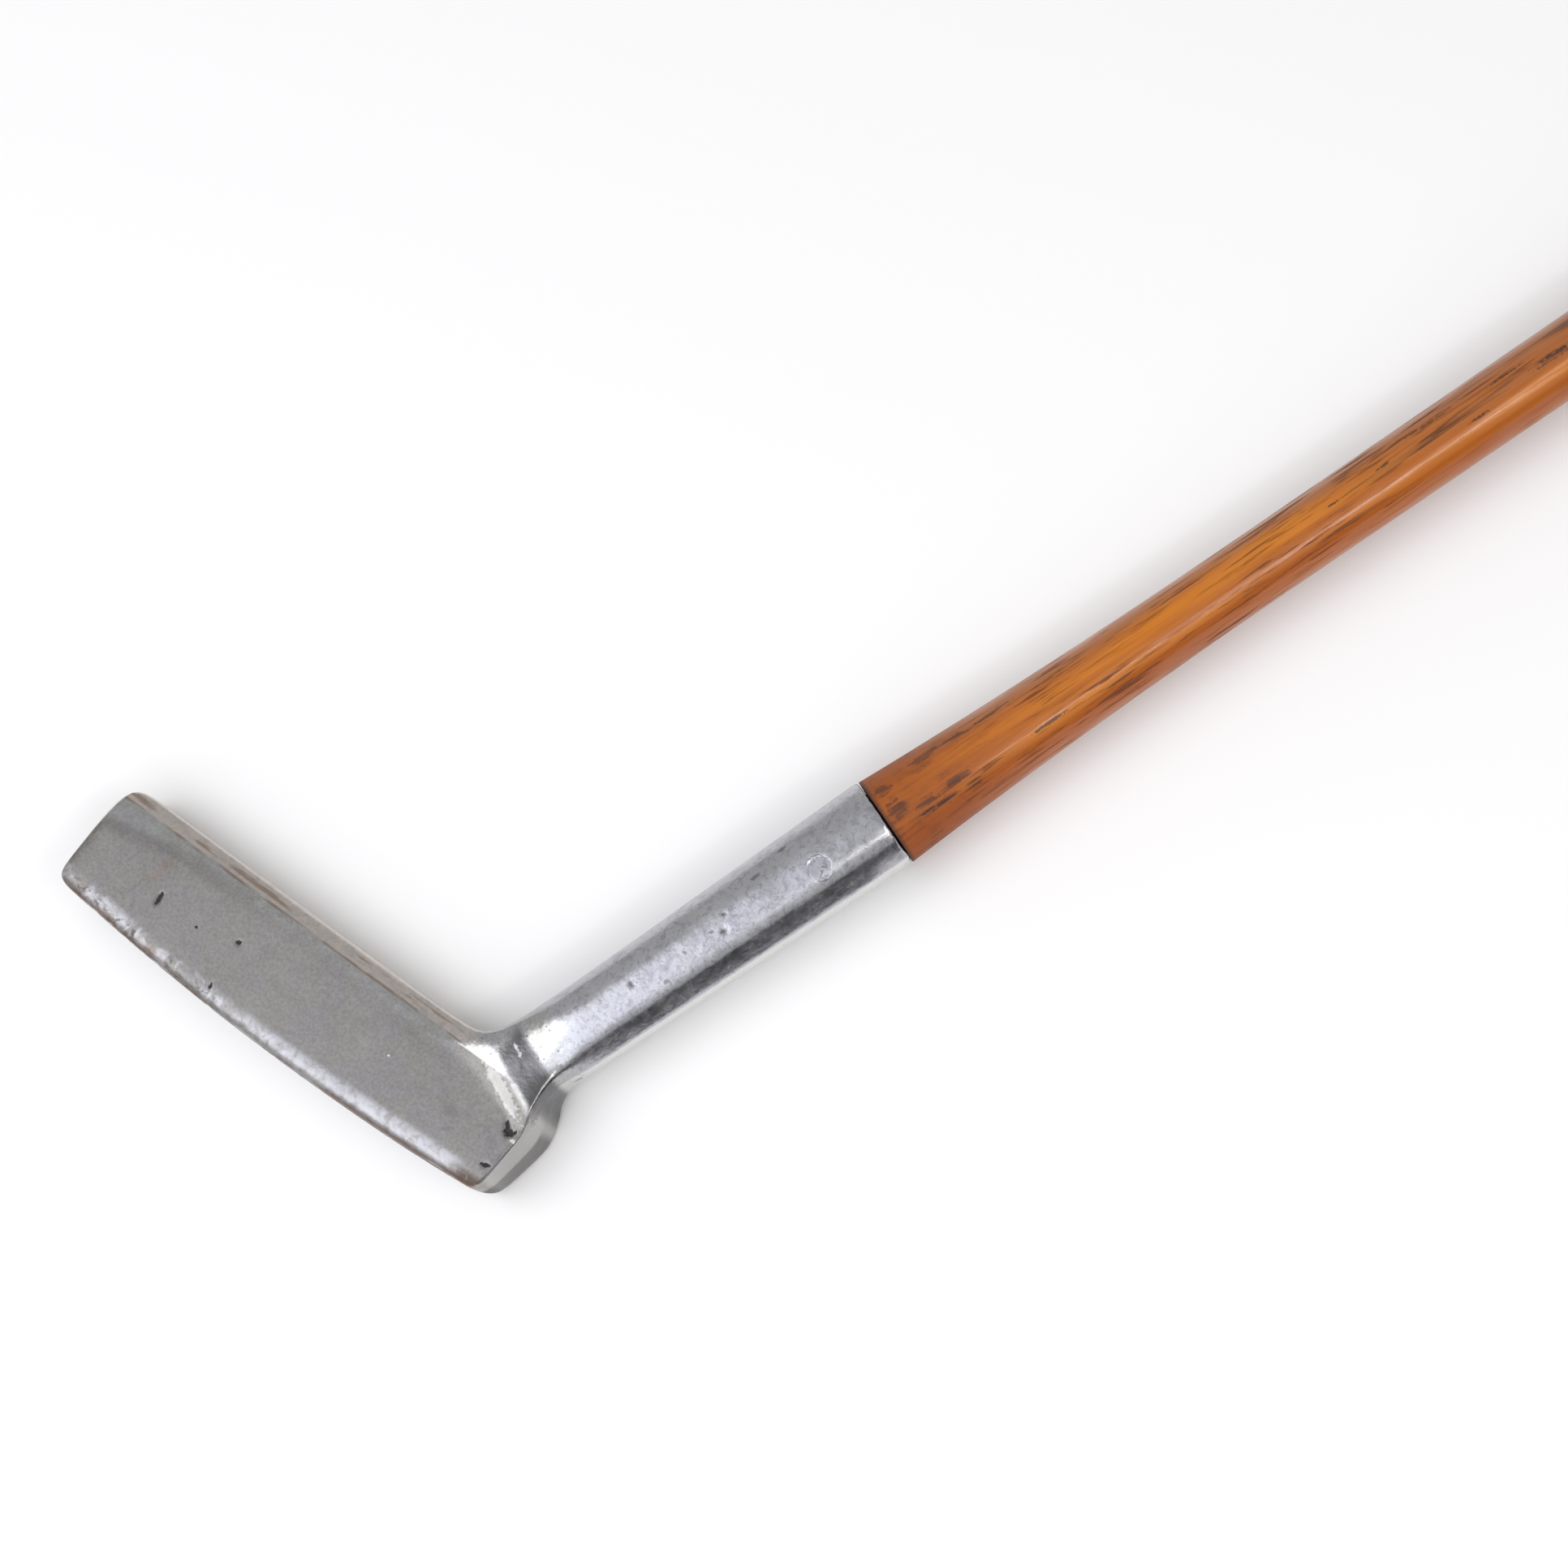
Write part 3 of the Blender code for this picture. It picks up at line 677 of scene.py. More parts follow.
@dataclass(frozen=True)
class HeadMarks:
    """Every single mark that the worn head carries."""

    face_depth: float = -5.4 * MM
    hosel_radius: float = 8 * MM
    pits: tuple[Mark, ...] = (
        mark(-75.7, -14.3, 1.55, 0.42, 97, 0.4), mark(-57.4, -12.1, 0.65, 0.42, 20, 0.3),
        mark(-66.1, -14.4, 0.36, 0.30), mark(-56.4, -21.4, 0.75, 0.34, 100, 0.2),
        mark(5.7, -9.9, 1.15, 0.46, -45, 0.5), mark(6.5, -10.6, 1.00, 0.85, 20, 0.5),
        mark(7.4, -10.1, 0.50, 0.32, 68, 0.2), mark(6.6, -17.5, 0.95, 0.42, 15, 0.2))
    faint: tuple[Mark, ...] = (
        mark(-62.1, -13.6, 0.40, 0.34), mark(-79.1, -18.1, 0.50, 0.42), mark(-81.1, -14.9, 2.2, 0.32, 78),
        mark(-94.2, -13.6, 1.9, 0.30, 79), mark(-4.6, -13.6, 1.6, 1.0), mark(0.9, -2.1, 2.3, 1.2, -60),
        mark(8.0, -5.4, 2.8, 0.28, -76), mark(-3.1, -16.4, 1.0, 0.5, 40))
    rust: tuple[Mark, ...] = (
        mark(-90.0, -20.9, 0.70, 0.55, 30), mark(-79.0, -10.0, 2.8, 0.8, 75),
        mark(-83.0, -22.0, 2.2, 0.7, -4), mark(-70.0, -22.6, 3.0, 0.6, -3))
    # Light spots; the one below the heel's pit is a painted glint.
    flecks_and_glints: tuple[Mark, ...] = (
        mark(7.9, -11.4, 0.50, 0.42), mark(-1.0, 1.9, 1.5, 0.35, -24), mark(-20.4, -12.3, 0.26, 0.22))
    # Painted highlight: a bright streak on the neck's first ramp.
    ramp: tuple[Mark, ...] = (mark(0.5, -5.1, 6.6, 1.2, -24),)
    hosel: tuple[RoundMark, ...] = (
        round_mark(24.8, 6.7, 0.8, 0.7, 0.15), round_mark(43.5, 17.5, 0.8, 0.45, 0.15),
        round_mark(45.0, 0.3, 0.5, 0.4, 0.1), round_mark(53.1, -19.4, 0.9, 0.5, 0.2),
        round_mark(62.2, 16.0, 0.4, 1.0), round_mark(41.4, 9.6, 0.5, 0.35), round_mark(30.0, 30.0, 0.7, 0.4),
        round_mark(59.5, -31.4, 1.2, 0.4), round_mark(35.5, 12.0, 0.5, 0.4), round_mark(7.0, 92.0, 1.1, 0.6))

    def on_face(self, surface: Surface, blade: Socket, marks: tuple[Mark, ...],
                ragged: float) -> Socket:
        """One mask for a list of marks on the face.

        Args:
            surface: the material being built.
            blade: coordinates in the blade's frame.
            marks: the list.
            ragged: how uneven their edges are.

        Returns:
            The mask.
        """
        return surface.nodes.either(*(surface.effect(
            EFFECTS.spot, blade, Centre=(one.x, self.face_depth, one.z), Turn=(0, -one.turn, 0),
            Half_Size=(one.half_length, one.half_depth, one.half_width), Ragged=ragged) for one in marks))


@dataclass(frozen=True)
class Ripple:
    """One size of ripple in the head's surface."""

    per_metre: float
    detail: float
    depth: float


RIPPLES = (Ripple(320.0, 3.0, 0.085 * MM), Ripple(760.0, 2.0, 0.018 * MM), Ripple(1500.0, 3.0, 0.008 * MM))


def hammered_relief(surface: Surface, blade: Socket, share: Input = 1.0) -> Socket:
    """The head's ripples, dimples and grain.

    Args:
        surface: the material being built.
        blade: coordinates in the blade's frame.
        share: how much of the relief shows.

    Returns:
        The bumped normal.
    """
    normal = None
    for ripple in RIPPLES:
        height = surface.nodes.noise(blade, ripple.per_metre, ripple.detail)
        normal = surface.bump(surface.nodes.math("MULTIPLY", height, share), ripple.depth, after=normal)
    return normal


@dataclass
class HeadPlaces:
    """Coordinates, masks and patterns of the head.

    Each range runs from where its mask is nothing to where it is one. The last size of a band is the width
    over which it fades.
    """

    surface: Surface
    sole_middle: float = -46 * MM
    sole_half: float = 52.5 * MM
    sole_camber: float = 2.5 * MM
    camber_power: float = 1.8
    blade_x: Range = (-7 * MM, -12 * MM)
    below_neck: Range = (-1.5 * MM, -4.0 * MM)
    face_z: Range = (-3.0 * MM, -3.4 * MM)
    face_y: Range = (-4.4 * MM, -4.8 * MM)
    neck_along: Band = (-7 * MM, 8 * MM, 2 * MM)
    neck_x: Range = (-14 * MM, -8 * MM)
    hosel_along: Range = (6 * MM, 11 * MM)
    toe_half_x: Range = (-42 * MM, -62 * MM)
    heel_x: Range = (5.8 * MM, 6.8 * MM)
    heel_y: Range = (-4.4 * MM, -3.9 * MM)
    heel_along: Range = (0.0, -3 * MM)

    def __post_init__(self) -> None:
        """Builds the coordinates, the masks and the patterns."""
        nodes = self.nodes = self.surface.nodes
        self.blade = nodes.placed(self.surface.here, CLUB.blade_to_world)
        self.x, self.y, self.z = nodes.add("ShaderNodeSeparateXYZ", {0: self.blade}).outputs
        self.along, self.turn = self.surface.along_and_turn()
        offset = nodes.math("SUBTRACT", self.x, self.sole_middle)
        share = nodes.math("ABSOLUTE", nodes.math("DIVIDE", offset, self.sole_half))
        rise = nodes.math("MULTIPLY", nodes.math("POWER", share, self.camber_power), self.sole_camber)
        self.above_sole = nodes.math("SUBTRACT", nodes.math("ADD", self.z, CLUB.blade_height), rise)
        self.on_blade = nodes.between(self.x, *self.blade_x)
        self.on_face = nodes.both(nodes.between(self.z, *self.face_z), nodes.between(self.y, *self.face_y),
                                  nodes.between(self.along, *self.below_neck))
        self.on_neck = nodes.both(nodes.band(self.along, *self.neck_along),
                                  nodes.between(self.x, *self.neck_x))
        self.on_hosel = nodes.between(self.along, *self.hosel_along)
        self.toe_half = nodes.between(self.x, *self.toe_half_x)
        self.heel_end = nodes.both(nodes.between(self.x, *self.heel_x), nodes.between(self.y, *self.heel_y),
                                   nodes.between(self.along, *self.heel_along))
        self.broad = self.patches(Per_Metre=85.0, Cover=0.5, Softness=0.16)
        self.fine = self.patches(Per_Metre=620.0, Cover=0.5, Softness=0.20)
        self.streaks = self.surface.effect(EFFECTS.streaks, self.blade, Per_Metre=700.0, Stretch=9.0)

    def patches(self, **sizes: float) -> Socket:
        """Irregular patches laid out in the blade's frame."""
        return self.surface.effect(EFFECTS.blotches, self.blade, **sizes)

    def stains(self, **sizes: float) -> Socket:
        """Irregular patches laid out along the shaft's axis."""
        return self.surface.effect(EFFECTS.blotches, self.surface.club, **sizes)

    def specks(self, **sizes: float) -> Socket:
        """Small dots laid out in the blade's frame."""
        return self.surface.effect(EFFECTS.specks, self.blade, **sizes)


@dataclass(frozen=True)
class WornPlating:
    """Worn grey plating: satin on the face, bright on the hosel, browned and chipped along the edges, with
    painted highlights, reflections and shade on the neck, heel, top line and sole.

    Its ranges and bands are written as those of the head's places are.
    """

    name: str = "worn_plating"
    ground: tuple[Colour, Colour] = ((0.382, 0.382, 0.368), (0.445, 0.443, 0.437))
    bluish: Tone = Tone(0.6, (0.390, 0.384, 0.425))
    bright: Tone = Tone(0.3, (0.500, 0.498, 0.491))
    grit: Range = (0.34, 0.66)
    grit_darkest: float = 0.89
    grit_share: float = 0.22
    face_shade: Colour = (0.530, 0.516, 0.500)
    hosel_tone: Tone = Tone(0.6, (0.480, 0.482, 0.522))
    hosel_mottle: Tone = Tone(0.45, (0.215, 0.210, 0.245))
    speck: Tone = Tone(0.45, (0.160, 0.155, 0.155))
    # Painted reflection: a light band on the hosel's heel-side rim, where the white floor would show in the
    # metal.
    painted_rim_reflection: Tone = Tone(0.75, (0.800, 0.790, 0.765))
    rim_turn: Range = (math.radians(72), math.radians(77))
    rim_along: Range = (-7 * MM, 3 * MM)
    # Painted shade: darkens the neck's flat between its two bright ramps.
    neck_painted_shade: Tone = Tone(0.95, (0.150, 0.147, 0.150))
    shade_along: Band = (-1.4 * MM, 3.0 * MM, 1.4 * MM)
    shade_x: Range = (-5 * MM, -2 * MM)
    # Partly painted reflection: the top line's bevel is painted a lighter, warmer grey in place of the light
    # it would reflect.
    top_line_wear_and_sheen: Tone = Tone(1.0, (0.600, 0.535, 0.490))
    top_line_z: Range = (-3.1 * MM, -2.6 * MM)
    top_line_least: float = 0.4
    top_line_patches: float = 0.55
    top_scuff: Tone = Tone(0.75, (0.270, 0.185, 0.140))
    upper_scuffs_z: Band = (-1.9 * MM, -1.3 * MM, 0.4 * MM)
    upper_scuffs: Range = (0.46, 0.58)
    lower_scuffs_z: Band = (-3.1 * MM, -2.8 * MM, 0.2 * MM)
    lower_scuffs: Range = (0.40, 0.55)
    toe_stain: Tone = Tone(0.5, (0.330, 0.260, 0.210))
    toe_x: Range = (-94.6 * MM, -95.4 * MM)
    toe_patches: Range = (0.25, 0.6)
    chip: Tone = Tone(0.7, (0.190, 0.172, 0.167))
    chips_rise: Range = (3.6 * MM, 1.8 * MM)
    chip_depth: float = 0.04 * MM
    # Painted shade: a dark brown line along the sole's rounded rim, where the edge turns down to the floor.
    sole_rim_shade: Tone = Tone(0.75, (0.180, 0.112, 0.082))
    rim_rise: Range = (1.5 * MM, 0.9 * MM)
    rim_y: Range = (-2 * MM, -3 * MM)
    rim_streaks: Range = (0.40, 0.52)
    grime: Tone = Tone(0.5, (0.180, 0.112, 0.082))
    grime_rise: Range = (3.4 * MM, 1.6 * MM)
    grime_patches: Range = (-0.2, 0.5)
    grime_x: Range = (0.0, 4 * MM)
    # Partly painted highlight: the sole's front edge towards the heel is painted a lighter bluish grey, as
    # rubbed wear and as the highlight on its rounding.
    rubbed: Tone = Tone(0.7, (0.480, 0.480, 0.525))
    rubbed_rise: Band = (1.6 * MM, 3.2 * MM, 1.4 * MM)
    rubbed_x: Range = (-62 * MM, -42 * MM)
    rubbed_end: Range = (5 * MM, 0.0)
    rubbed_patches: Range = (-0.4, 1.1)
    # Painted reflection and painted shade on the heel's end: a lighter strip at the front, a darker patch
    # behind it.
    heel_painted_light: Tone = Tone(0.7, (0.410, 0.392, 0.378))
    heel_painted_shade: Tone = Tone(0.9, (0.150, 0.140, 0.133))
    heel_shade_y: Range = (0.4 * MM, 1.5 * MM)
    heel_shade_z: Range = (-6.6 * MM, -8.6 * MM)
    rust: Tone = Tone(0.22, (0.240, 0.120, 0.075))
    stain: Tone = Tone(0.55, (0.170, 0.165, 0.170))
    # Painted highlight on the neck's ramp.
    ramp: Tone = Tone(0.30, (0.900, 0.900, 0.900))
    # Partly painted glint: white spots, one of them the glint below the heel's pit.
    fleck_and_glint: Tone = Tone(0.5, (0.900, 0.900, 0.900))
    neck_grain: Tone = Tone(0.7, (0.160, 0.155, 0.155))
    pit: Tone = Tone(0.97, (0.012, 0.010, 0.010))
    hosel_pit: Tone = Tone(0.7, (0.160, 0.155, 0.155))
    roughness: float = 0.17
    broad_roughness: float = 0.05
    fine_roughness: float = 0.06
    face_roughness: float = 0.20
    hosel_roughness: float = 0.02
    dirt_roughness: float = 0.35
    pit_dullness: float = 0.95
    face_calm: float = 0.6
    hosel_calm: float = 0.25
    neck_relief: float = 0.3
    marks: HeadMarks = HeadMarks()

    def make(self) -> bpy.types.Material:
        """Builds the material.

        Returns:
            The material.
        """
        surface = Surface(self.name, self.ground[1], self.roughness, 1.0)
        places = HeadPlaces(surface)
        nodes = surface.nodes
        colour, scuffed = self._top_edge(places, self._ground(places))
        # The sole edge's mask holds its chips, grime and painted rim shade.
        colour, chipped = self._sole_edge(places, colour)
        colour, pits = self._marks(places, self._heel_end(places, colour))
        surface.set("Base Color", colour)
        surface.set("Roughness", nodes.total(
            self.roughness, (places.broad, self.broad_roughness), (places.fine, self.fine_roughness),
            (places.on_face, self.face_roughness), (places.on_hosel, self.hosel_roughness),
            (nodes.either(chipped, scuffed, pits), self.dirt_roughness)))
        surface.set("Metallic", nodes.less(pits, self.pit_dullness))
        relief = nodes.total(nodes.less(places.on_face, self.face_calm), (places.on_hosel, -self.hosel_calm),
                             (places.on_neck, self.neck_relief))
        hammered = hammered_relief(surface, places.blade, relief)
        sunk = nodes.math("MULTIPLY", chipped, -1.0)
        surface.set("Normal", surface.bump(sunk, self.chip_depth, after=hammered))
        return surface.material

    def _ground(self, places: HeadPlaces) -> Socket:
        """The plating's mottled grey, with a painted reflection along the hosel's heel-side rim and painted
        shade on the neck's flat.

        Args:
            places: where its points lie.

        Returns:
            The colour.
        """
        nodes = places.nodes
        tint = places.stains(Per_Metre=140.0, Cover=0.45, Softness=0.14)
        mottle = places.stains(Per_Metre=420.0, Cover=0.40, Softness=0.09)
        crumbs = places.stains(Per_Metre=1100.0, Cover=0.42, Softness=0.07)
        grit = nodes.between(nodes.noise(places.blade, 1700.0, detail=4.0, roughness=0.7), *self.grit)
        colour = nodes.mix(places.broad, *self.ground)
        colour = nodes.paint(colour, tint, self.bluish)
        colour = nodes.paint(colour, places.fine, self.bright)
        colour = nodes.mix(1.0, colour, nodes.total(self.grit_darkest, (grit, self.grit_share)), "MULTIPLY")
        colour = nodes.mix(places.on_face, colour, self.face_shade, "MULTIPLY")
        colour = nodes.paint(colour, places.on_hosel, self.hosel_tone)
        mottled = nodes.both(nodes.either(mottle, crumbs), places.on_hosel)
        colour = nodes.paint(colour, mottled, self.hosel_mottle)
        # Painted reflection on the hosel's heel-side rim.
        painted_rim_reflection = nodes.both(nodes.between(places.turn, *self.rim_turn),
                              nodes.between(places.along, *self.rim_along))
        colour = nodes.paint(colour, painted_rim_reflection, self.painted_rim_reflection)
        # Painted shade on the neck's flat between the ramps.
        painted_shade_mask = nodes.both(nodes.band(places.along, *self.shade_along),
                            nodes.between(places.x, *self.shade_x))
        colour = nodes.paint(colour, painted_shade_mask, self.neck_painted_shade)
        return nodes.paint(colour, places.specks(Per_Metre=420.0, Radius=0.15, Share=0.22), self.speck)

    def _top_edge(self, places: HeadPlaces, colour: Socket) -> tuple[Socket, Socket]:
        """The band rubbed through to a warmer grey along the top line and painted lighter there as a
        reflection on its bevel, and the stained toe end.

        Args:
            places: where its points lie.
            colour: the colour so far.

        Returns:
            The colour and the mask of its brown scuffs.
        """
        nodes = places.nodes
        # The top line's band: warmer grey wear, painted lighter as a reflection on its bevel.
        uneven = nodes.total(self.top_line_least, (places.fine, self.top_line_patches))
        top_wear_and_sheen = nodes.both(nodes.between(places.z, *self.top_line_z), places.on_blade, uneven)
        colour = nodes.paint(colour, top_wear_and_sheen, self.top_line_wear_and_sheen)
        upper, lower = (nodes.both(nodes.band(places.z, *height), places.on_blade,
                                   nodes.between(places.streaks, *lines))
                        for height, lines in ((self.upper_scuffs_z, self.upper_scuffs),
                                              (self.lower_scuffs_z, self.lower_scuffs)))
        colour = nodes.paint(colour, nodes.either(upper, lower), self.top_scuff)
        toe = nodes.both(nodes.between(places.x, *self.toe_x), nodes.between(places.fine, *self.toe_patches))
        return nodes.paint(colour, toe, self.toe_stain), upper

    def _sole_edge(self, places: HeadPlaces, colour: Socket) -> tuple[Socket, Socket]:
        """The sole's front edge: chipped at the toe, rubbed bright towards the heel with a painted highlight,
        and darker brown at its rim as painted shade.

        Args:
            places: where its points lie.
            colour: the colour so far.

        Returns:
            The colour and the mask of its chips and stains.
        """
        nodes = places.nodes
        crumbs = places.patches(Per_Metre=700.0, Cover=0.42, Softness=0.05)
        chipped = nodes.both(nodes.between(places.above_sole, *self.chips_rise), crumbs, places.toe_half)
        # Painted shade along the sole's rim.
        rim = nodes.both(nodes.between(places.above_sole, *self.rim_rise),
                         nodes.between(places.y, *self.rim_y),
                         nodes.between(places.streaks, *self.rim_streaks))
        grime = nodes.both(nodes.between(places.above_sole, *self.grime_rise),
                           nodes.between(places.fine, *self.grime_patches),
                           nodes.between(places.x, *self.grime_x))
        patchy = places.patches(Per_Metre=230.0, Cover=0.46, Softness=0.06)
        # Rubbed wear and a painted highlight along the sole's front edge.
        rubbed = nodes.both(nodes.band(places.above_sole, *self.rubbed_rise),
                            nodes.either(nodes.between(places.x, *self.rubbed_x), patchy),
                            nodes.between(places.x, *self.rubbed_end),
                            nodes.between(places.fine, *self.rubbed_patches))
        for mask, tone in ((chipped, self.chip), (rim, self.sole_rim_shade), (grime, self.grime),
                           (rubbed, self.rubbed)):
            colour = nodes.paint(colour, mask, tone)
        return colour, nodes.either(chipped, rim, grime)

    def _heel_end(self, places: HeadPlaces, colour: Socket) -> Socket:
        """The heel's end: a lighter strip along the front as painted reflection and a darker patch behind it
        as painted shade.

        Args:
            places: where its points lie.
            colour: the colour so far.

        Returns:
            The colour.
        """
        nodes = places.nodes
        # Painted shade on the heel end's back half, over its painted light front strip.
        patch = nodes.both(places.heel_end, nodes.between(places.y, *self.heel_shade_y),
                           nodes.between(places.z, *self.heel_shade_z))
        return nodes.paint(nodes.paint(colour, places.heel_end, self.heel_painted_light), patch, self.heel_painted_shade)

    def _marks(self, places: HeadPlaces, colour: Socket) -> tuple[Socket, Socket]:
        """The single stains, light spots and pits, with a painted highlight on the neck's ramp and a painted
        glint by the heel's pit.

        Args:
            places: where its points lie.
            colour: the colour so far.

        Returns:
            The colour and the mask of the face's pits.
        """
        surface, nodes, marks = places.surface, places.nodes, self.marks
        # Rust and stains are the metal's own; the ramp mark is a painted highlight, and the light spot below
        # the heel's pit a painted glint.
        for group, ragged, tone in ((marks.rust, 1.4, self.rust), (marks.faint, 0.6, self.stain),
                                    (marks.ramp, 0.5, self.ramp), (marks.flecks_and_glints, 0.7, self.fleck_and_glint)):
            colour = nodes.paint(colour, marks.on_face(surface, places.blade, group, ragged), tone)
        grains = nodes.both(places.specks(Per_Metre=900.0, Radius=0.24, Share=0.30), places.on_neck)
        colour = nodes.paint(colour, grains, self.neck_grain)
        pits = marks.on_face(surface, places.blade, marks.pits, ragged=0.5)
        colour = nodes.paint(colour, pits, self.pit)
        on_hosel = marks_round(surface, marks.hosel, marks.hosel_radius, ragged=0.7)
        return nodes.paint(colour, on_hosel, self.hosel_pit), pits


@dataclass(frozen=True)
class FiledSteel:
    """Filed steel, plated over with the hosel."""

    name: str = "filed_steel"
    dark: Colour = (0.260, 0.255, 0.285)
    light: Colour = (0.425, 0.425, 0.455)
    roughness: float = 0.23
    relief: float = 0.75

    def make(self) -> bpy.types.Material:
        """Builds the material.

        Returns:
            The material.
        """
        surface = Surface(self.name, self.light, self.roughness, 1.0)
        blotch = surface.effect(EFFECTS.blotches, surface.club, Per_Metre=1100.0, Cover=0.42, Softness=0.07)
        surface.set("Base Color", surface.nodes.mix(blotch, self.light, self.dark))
        blade = surface.nodes.placed(surface.here, CLUB.blade_to_world)
        surface.set("Normal", hammered_relief(surface, blade, self.relief))
        return surface.material


@dataclass
class Head:
    """The blade, neck and hosel as one worn piece of metal, with its rivet.

    A range runs from where its share is nothing to where it is one. Each layer of nicks is written as how
    much finer it is than the nick size, the noise level below which nothing is nicked, and its share. The
    heel's swell starts, is full and ends at the four heights of its line.
    """

    divisions: int = 2
    voxel: float = 0.44 * MM
    settling: float = 0.5
    settling_rounds: int = 3
    hard_edge: float = math.radians(50)
    waviness: float = 0.02 * MM
    wave_length: float = 9 * MM
    small_waves: float = 0.25
    finer: float = 3.1
    front_depth: float = 4 * MM
    nick_depth: float = 0.30 * MM
    nick_band: float = 2.6 * MM
    nick_size: tuple[float, float, float] = (1.7 * MM, 4 * MM, 4 * MM)
    nicks: tuple[tuple[float, float, float], ...] = ((1.0, 0.10, 1.0), (2.3, 0.15, 0.5))
    nick_deepest: float = 0.75
    nick_fade_x: Range = (-10 * MM, -40 * MM)
    nick_least: float = 0.2
    flat_from: float = math.radians(46)
    flat_to: float = math.radians(73)
    flat_faces: float = math.radians(51)
    flat_ends: float = math.radians(112)
    flat_share: float = 0.8
    flat_at_mouth: float = 0.6
    neck: float = 8 * MM
    wall_inside: float = 6.9 * MM
    waist_depth: float = 0.9 * MM
    waist_at: float = 1.5 * MM
    waist_reach: float = 8.0 * MM
    waist_faces: float = math.radians(110)
    waist_spread: float = math.radians(60)
    heel_swell: float = 1.1 * MM
    heel_line: tuple[float, float, float, float] = (-21 * MM, -9 * MM, -6.5 * MM, -1.5 * MM)
    heel_behind: Range = (-3 * MM, 1 * MM)
    heel_x: Range = (4 * MM, 6 * MM)
    rivet_divisions: int = 3
    rivet_fill: float = 1.30 * MM
    rivet_rim: Range = (2.6 * MM, 4.2 * MM)
    rivet_end: float = 0.97
    rivet_sink: float = 0.01 * MM
    marks: HeadMarks = HeadMarks()

    def build(self) -> None:
        """Makes and dresses the head and its rivet."""
        head = solid_copy("putter_head", "head_metal", self.divisions)
        remesh = head.modifiers.new("even_mesh", "REMESH")
        remesh.mode, remesh.voxel_size, remesh.use_smooth_shade = "VOXEL", self.voxel, True
        settle = head.modifiers.new("settled", "SMOOTH")
        settle.factor, settle.iterations = self.settling, self.settling_rounds
        apply_all(head)
        self._wear(head.data)
        smooth(head, self.hard_edge)
        dress(head, WornPlating(marks=self.marks).make(), Slot.METAL, "putter_head")

        pin = solid_copy("hosel_pin", "rivet", self.rivet_divisions)
        self._fill_hole(pin.data, head.data)
        smooth(pin)
        dress(pin, FiledSteel().make(), Slot.PIN, "hosel_pin")

    def _fill_hole(self, mesh: bpy.types.Mesh, head: bpy.types.Mesh) -> None:
        """Swells the rivet until it fills its hole, and files its ends to the hosel's own curve.

        Args:
            mesh: the rivet's mesh.
            head: the head's mesh.
        """
        to_club = CLUB.club_to_world.inverted()
        rivet, hosel = points_in(mesh, to_club), points_in(head, to_club)
        middle = rivet.mean(axis=0)
        along = rivet[np.argmax(np.hypot(rivet[:, 1], rivet[:, 2]))] - middle
        along[0] = 0
        along /= np.linalg.norm(along)
        axial = (rivet - middle) @ along
        across = rivet - middle - np.outer(axial, along)
        rivet += across * self.rivet_fill / np.linalg.norm(across, axis=1).max()
        outside = hosel[np.hypot(hosel[:, 1], hosel[:, 2]) > self.wall_inside]
        away = np.linalg.norm(np.cross(outside - middle, along), axis=1)
        in_ring = (away > self.rivet_rim[0]) & (away < self.rivet_rim[1])
        for side in (-1, 1):
            near = outside[in_ring & (side * ((outside - middle) @ along) > 0)]
            end = side * axial > self.rivet_end * np.abs(axial).max()
            bend = np.linalg.lstsq(self._curve_terms(near - middle, along), np.hypot(near[:, 1], near[:, 2]),
                                   rcond=None)[0]
            wall = self._curve_terms(rivet[end] - middle, along) @ bend - self.rivet_sink
            rivet[end, 1:] *= (wall / np.hypot(rivet[end, 1], rivet[end, 2]))[:, None]
            log.info("rivet filed to %.2f mm from the axis", wall.mean() / MM)
        store_points(mesh, rivet, CLUB.club_to_world)

    @staticmethod
    def _curve_terms(offsets: np.ndarray, along: np.ndarray) -> np.ndarray:
        """Terms of a curve fitted to the hosel round the rivet.

        Args:
            offsets: points from the rivet's middle.
            along: the rivet's own direction.

        Returns:
            One row of terms for each point.
        """
        x = offsets[:, 0] / MM
        side = offsets @ np.cross((1, 0, 0), along) / MM
        return np.stack((np.ones_like(x), x, side, side * side), axis=1)

    def _worn_flat(self, x: np.ndarray, radius: np.ndarray, turn: np.ndarray) -> np.ndarray:
        """How far the hosel swells past round towards the heel, below the flat worn on its heel side.

        Args:
            x: places along the club.
            radius: their distances from the axis.
            turn: their angles round it, from the face to the heel side.

        Returns:
            One outward shift for each point.
        """
        level = math.cos(self.flat_from - self.flat_faces)
        on_flat = np.clip(turn, self.flat_from, self.flat_to)
        swell = level / np.cos(on_flat - self.flat_faces) - 1
        past = ramp(turn, self.flat_to, self.flat_ends)
        swell = swell * (1 - past ** 2 * (3 - 2 * past))
        near_neck = ramp(x, self.neck / 2, self.neck * 3 / 2)
        near_mouth = np.maximum(ramp(x, CLUB.joint, CLUB.joint - self.neck), self.flat_at_mouth)
        return radius * swell * self.flat_share * near_neck * near_mouth * (radius > self.wall_inside)

    def _waist(self, x: np.ndarray, turn: np.ndarray) -> np.ndarray:
        """How far the neck draws in on its heel side, just above the heel's corner.

        Args:
            x: places along the club.
            turn: their angles round the axis, from the face to the heel side.

        Returns:
            One inward shift for each point.
        """
        near = dome((x - self.waist_at) / self.waist_reach)
        return self.waist_depth * near ** 2 * dome((turn - self.waist_faces) / self.waist_spread)

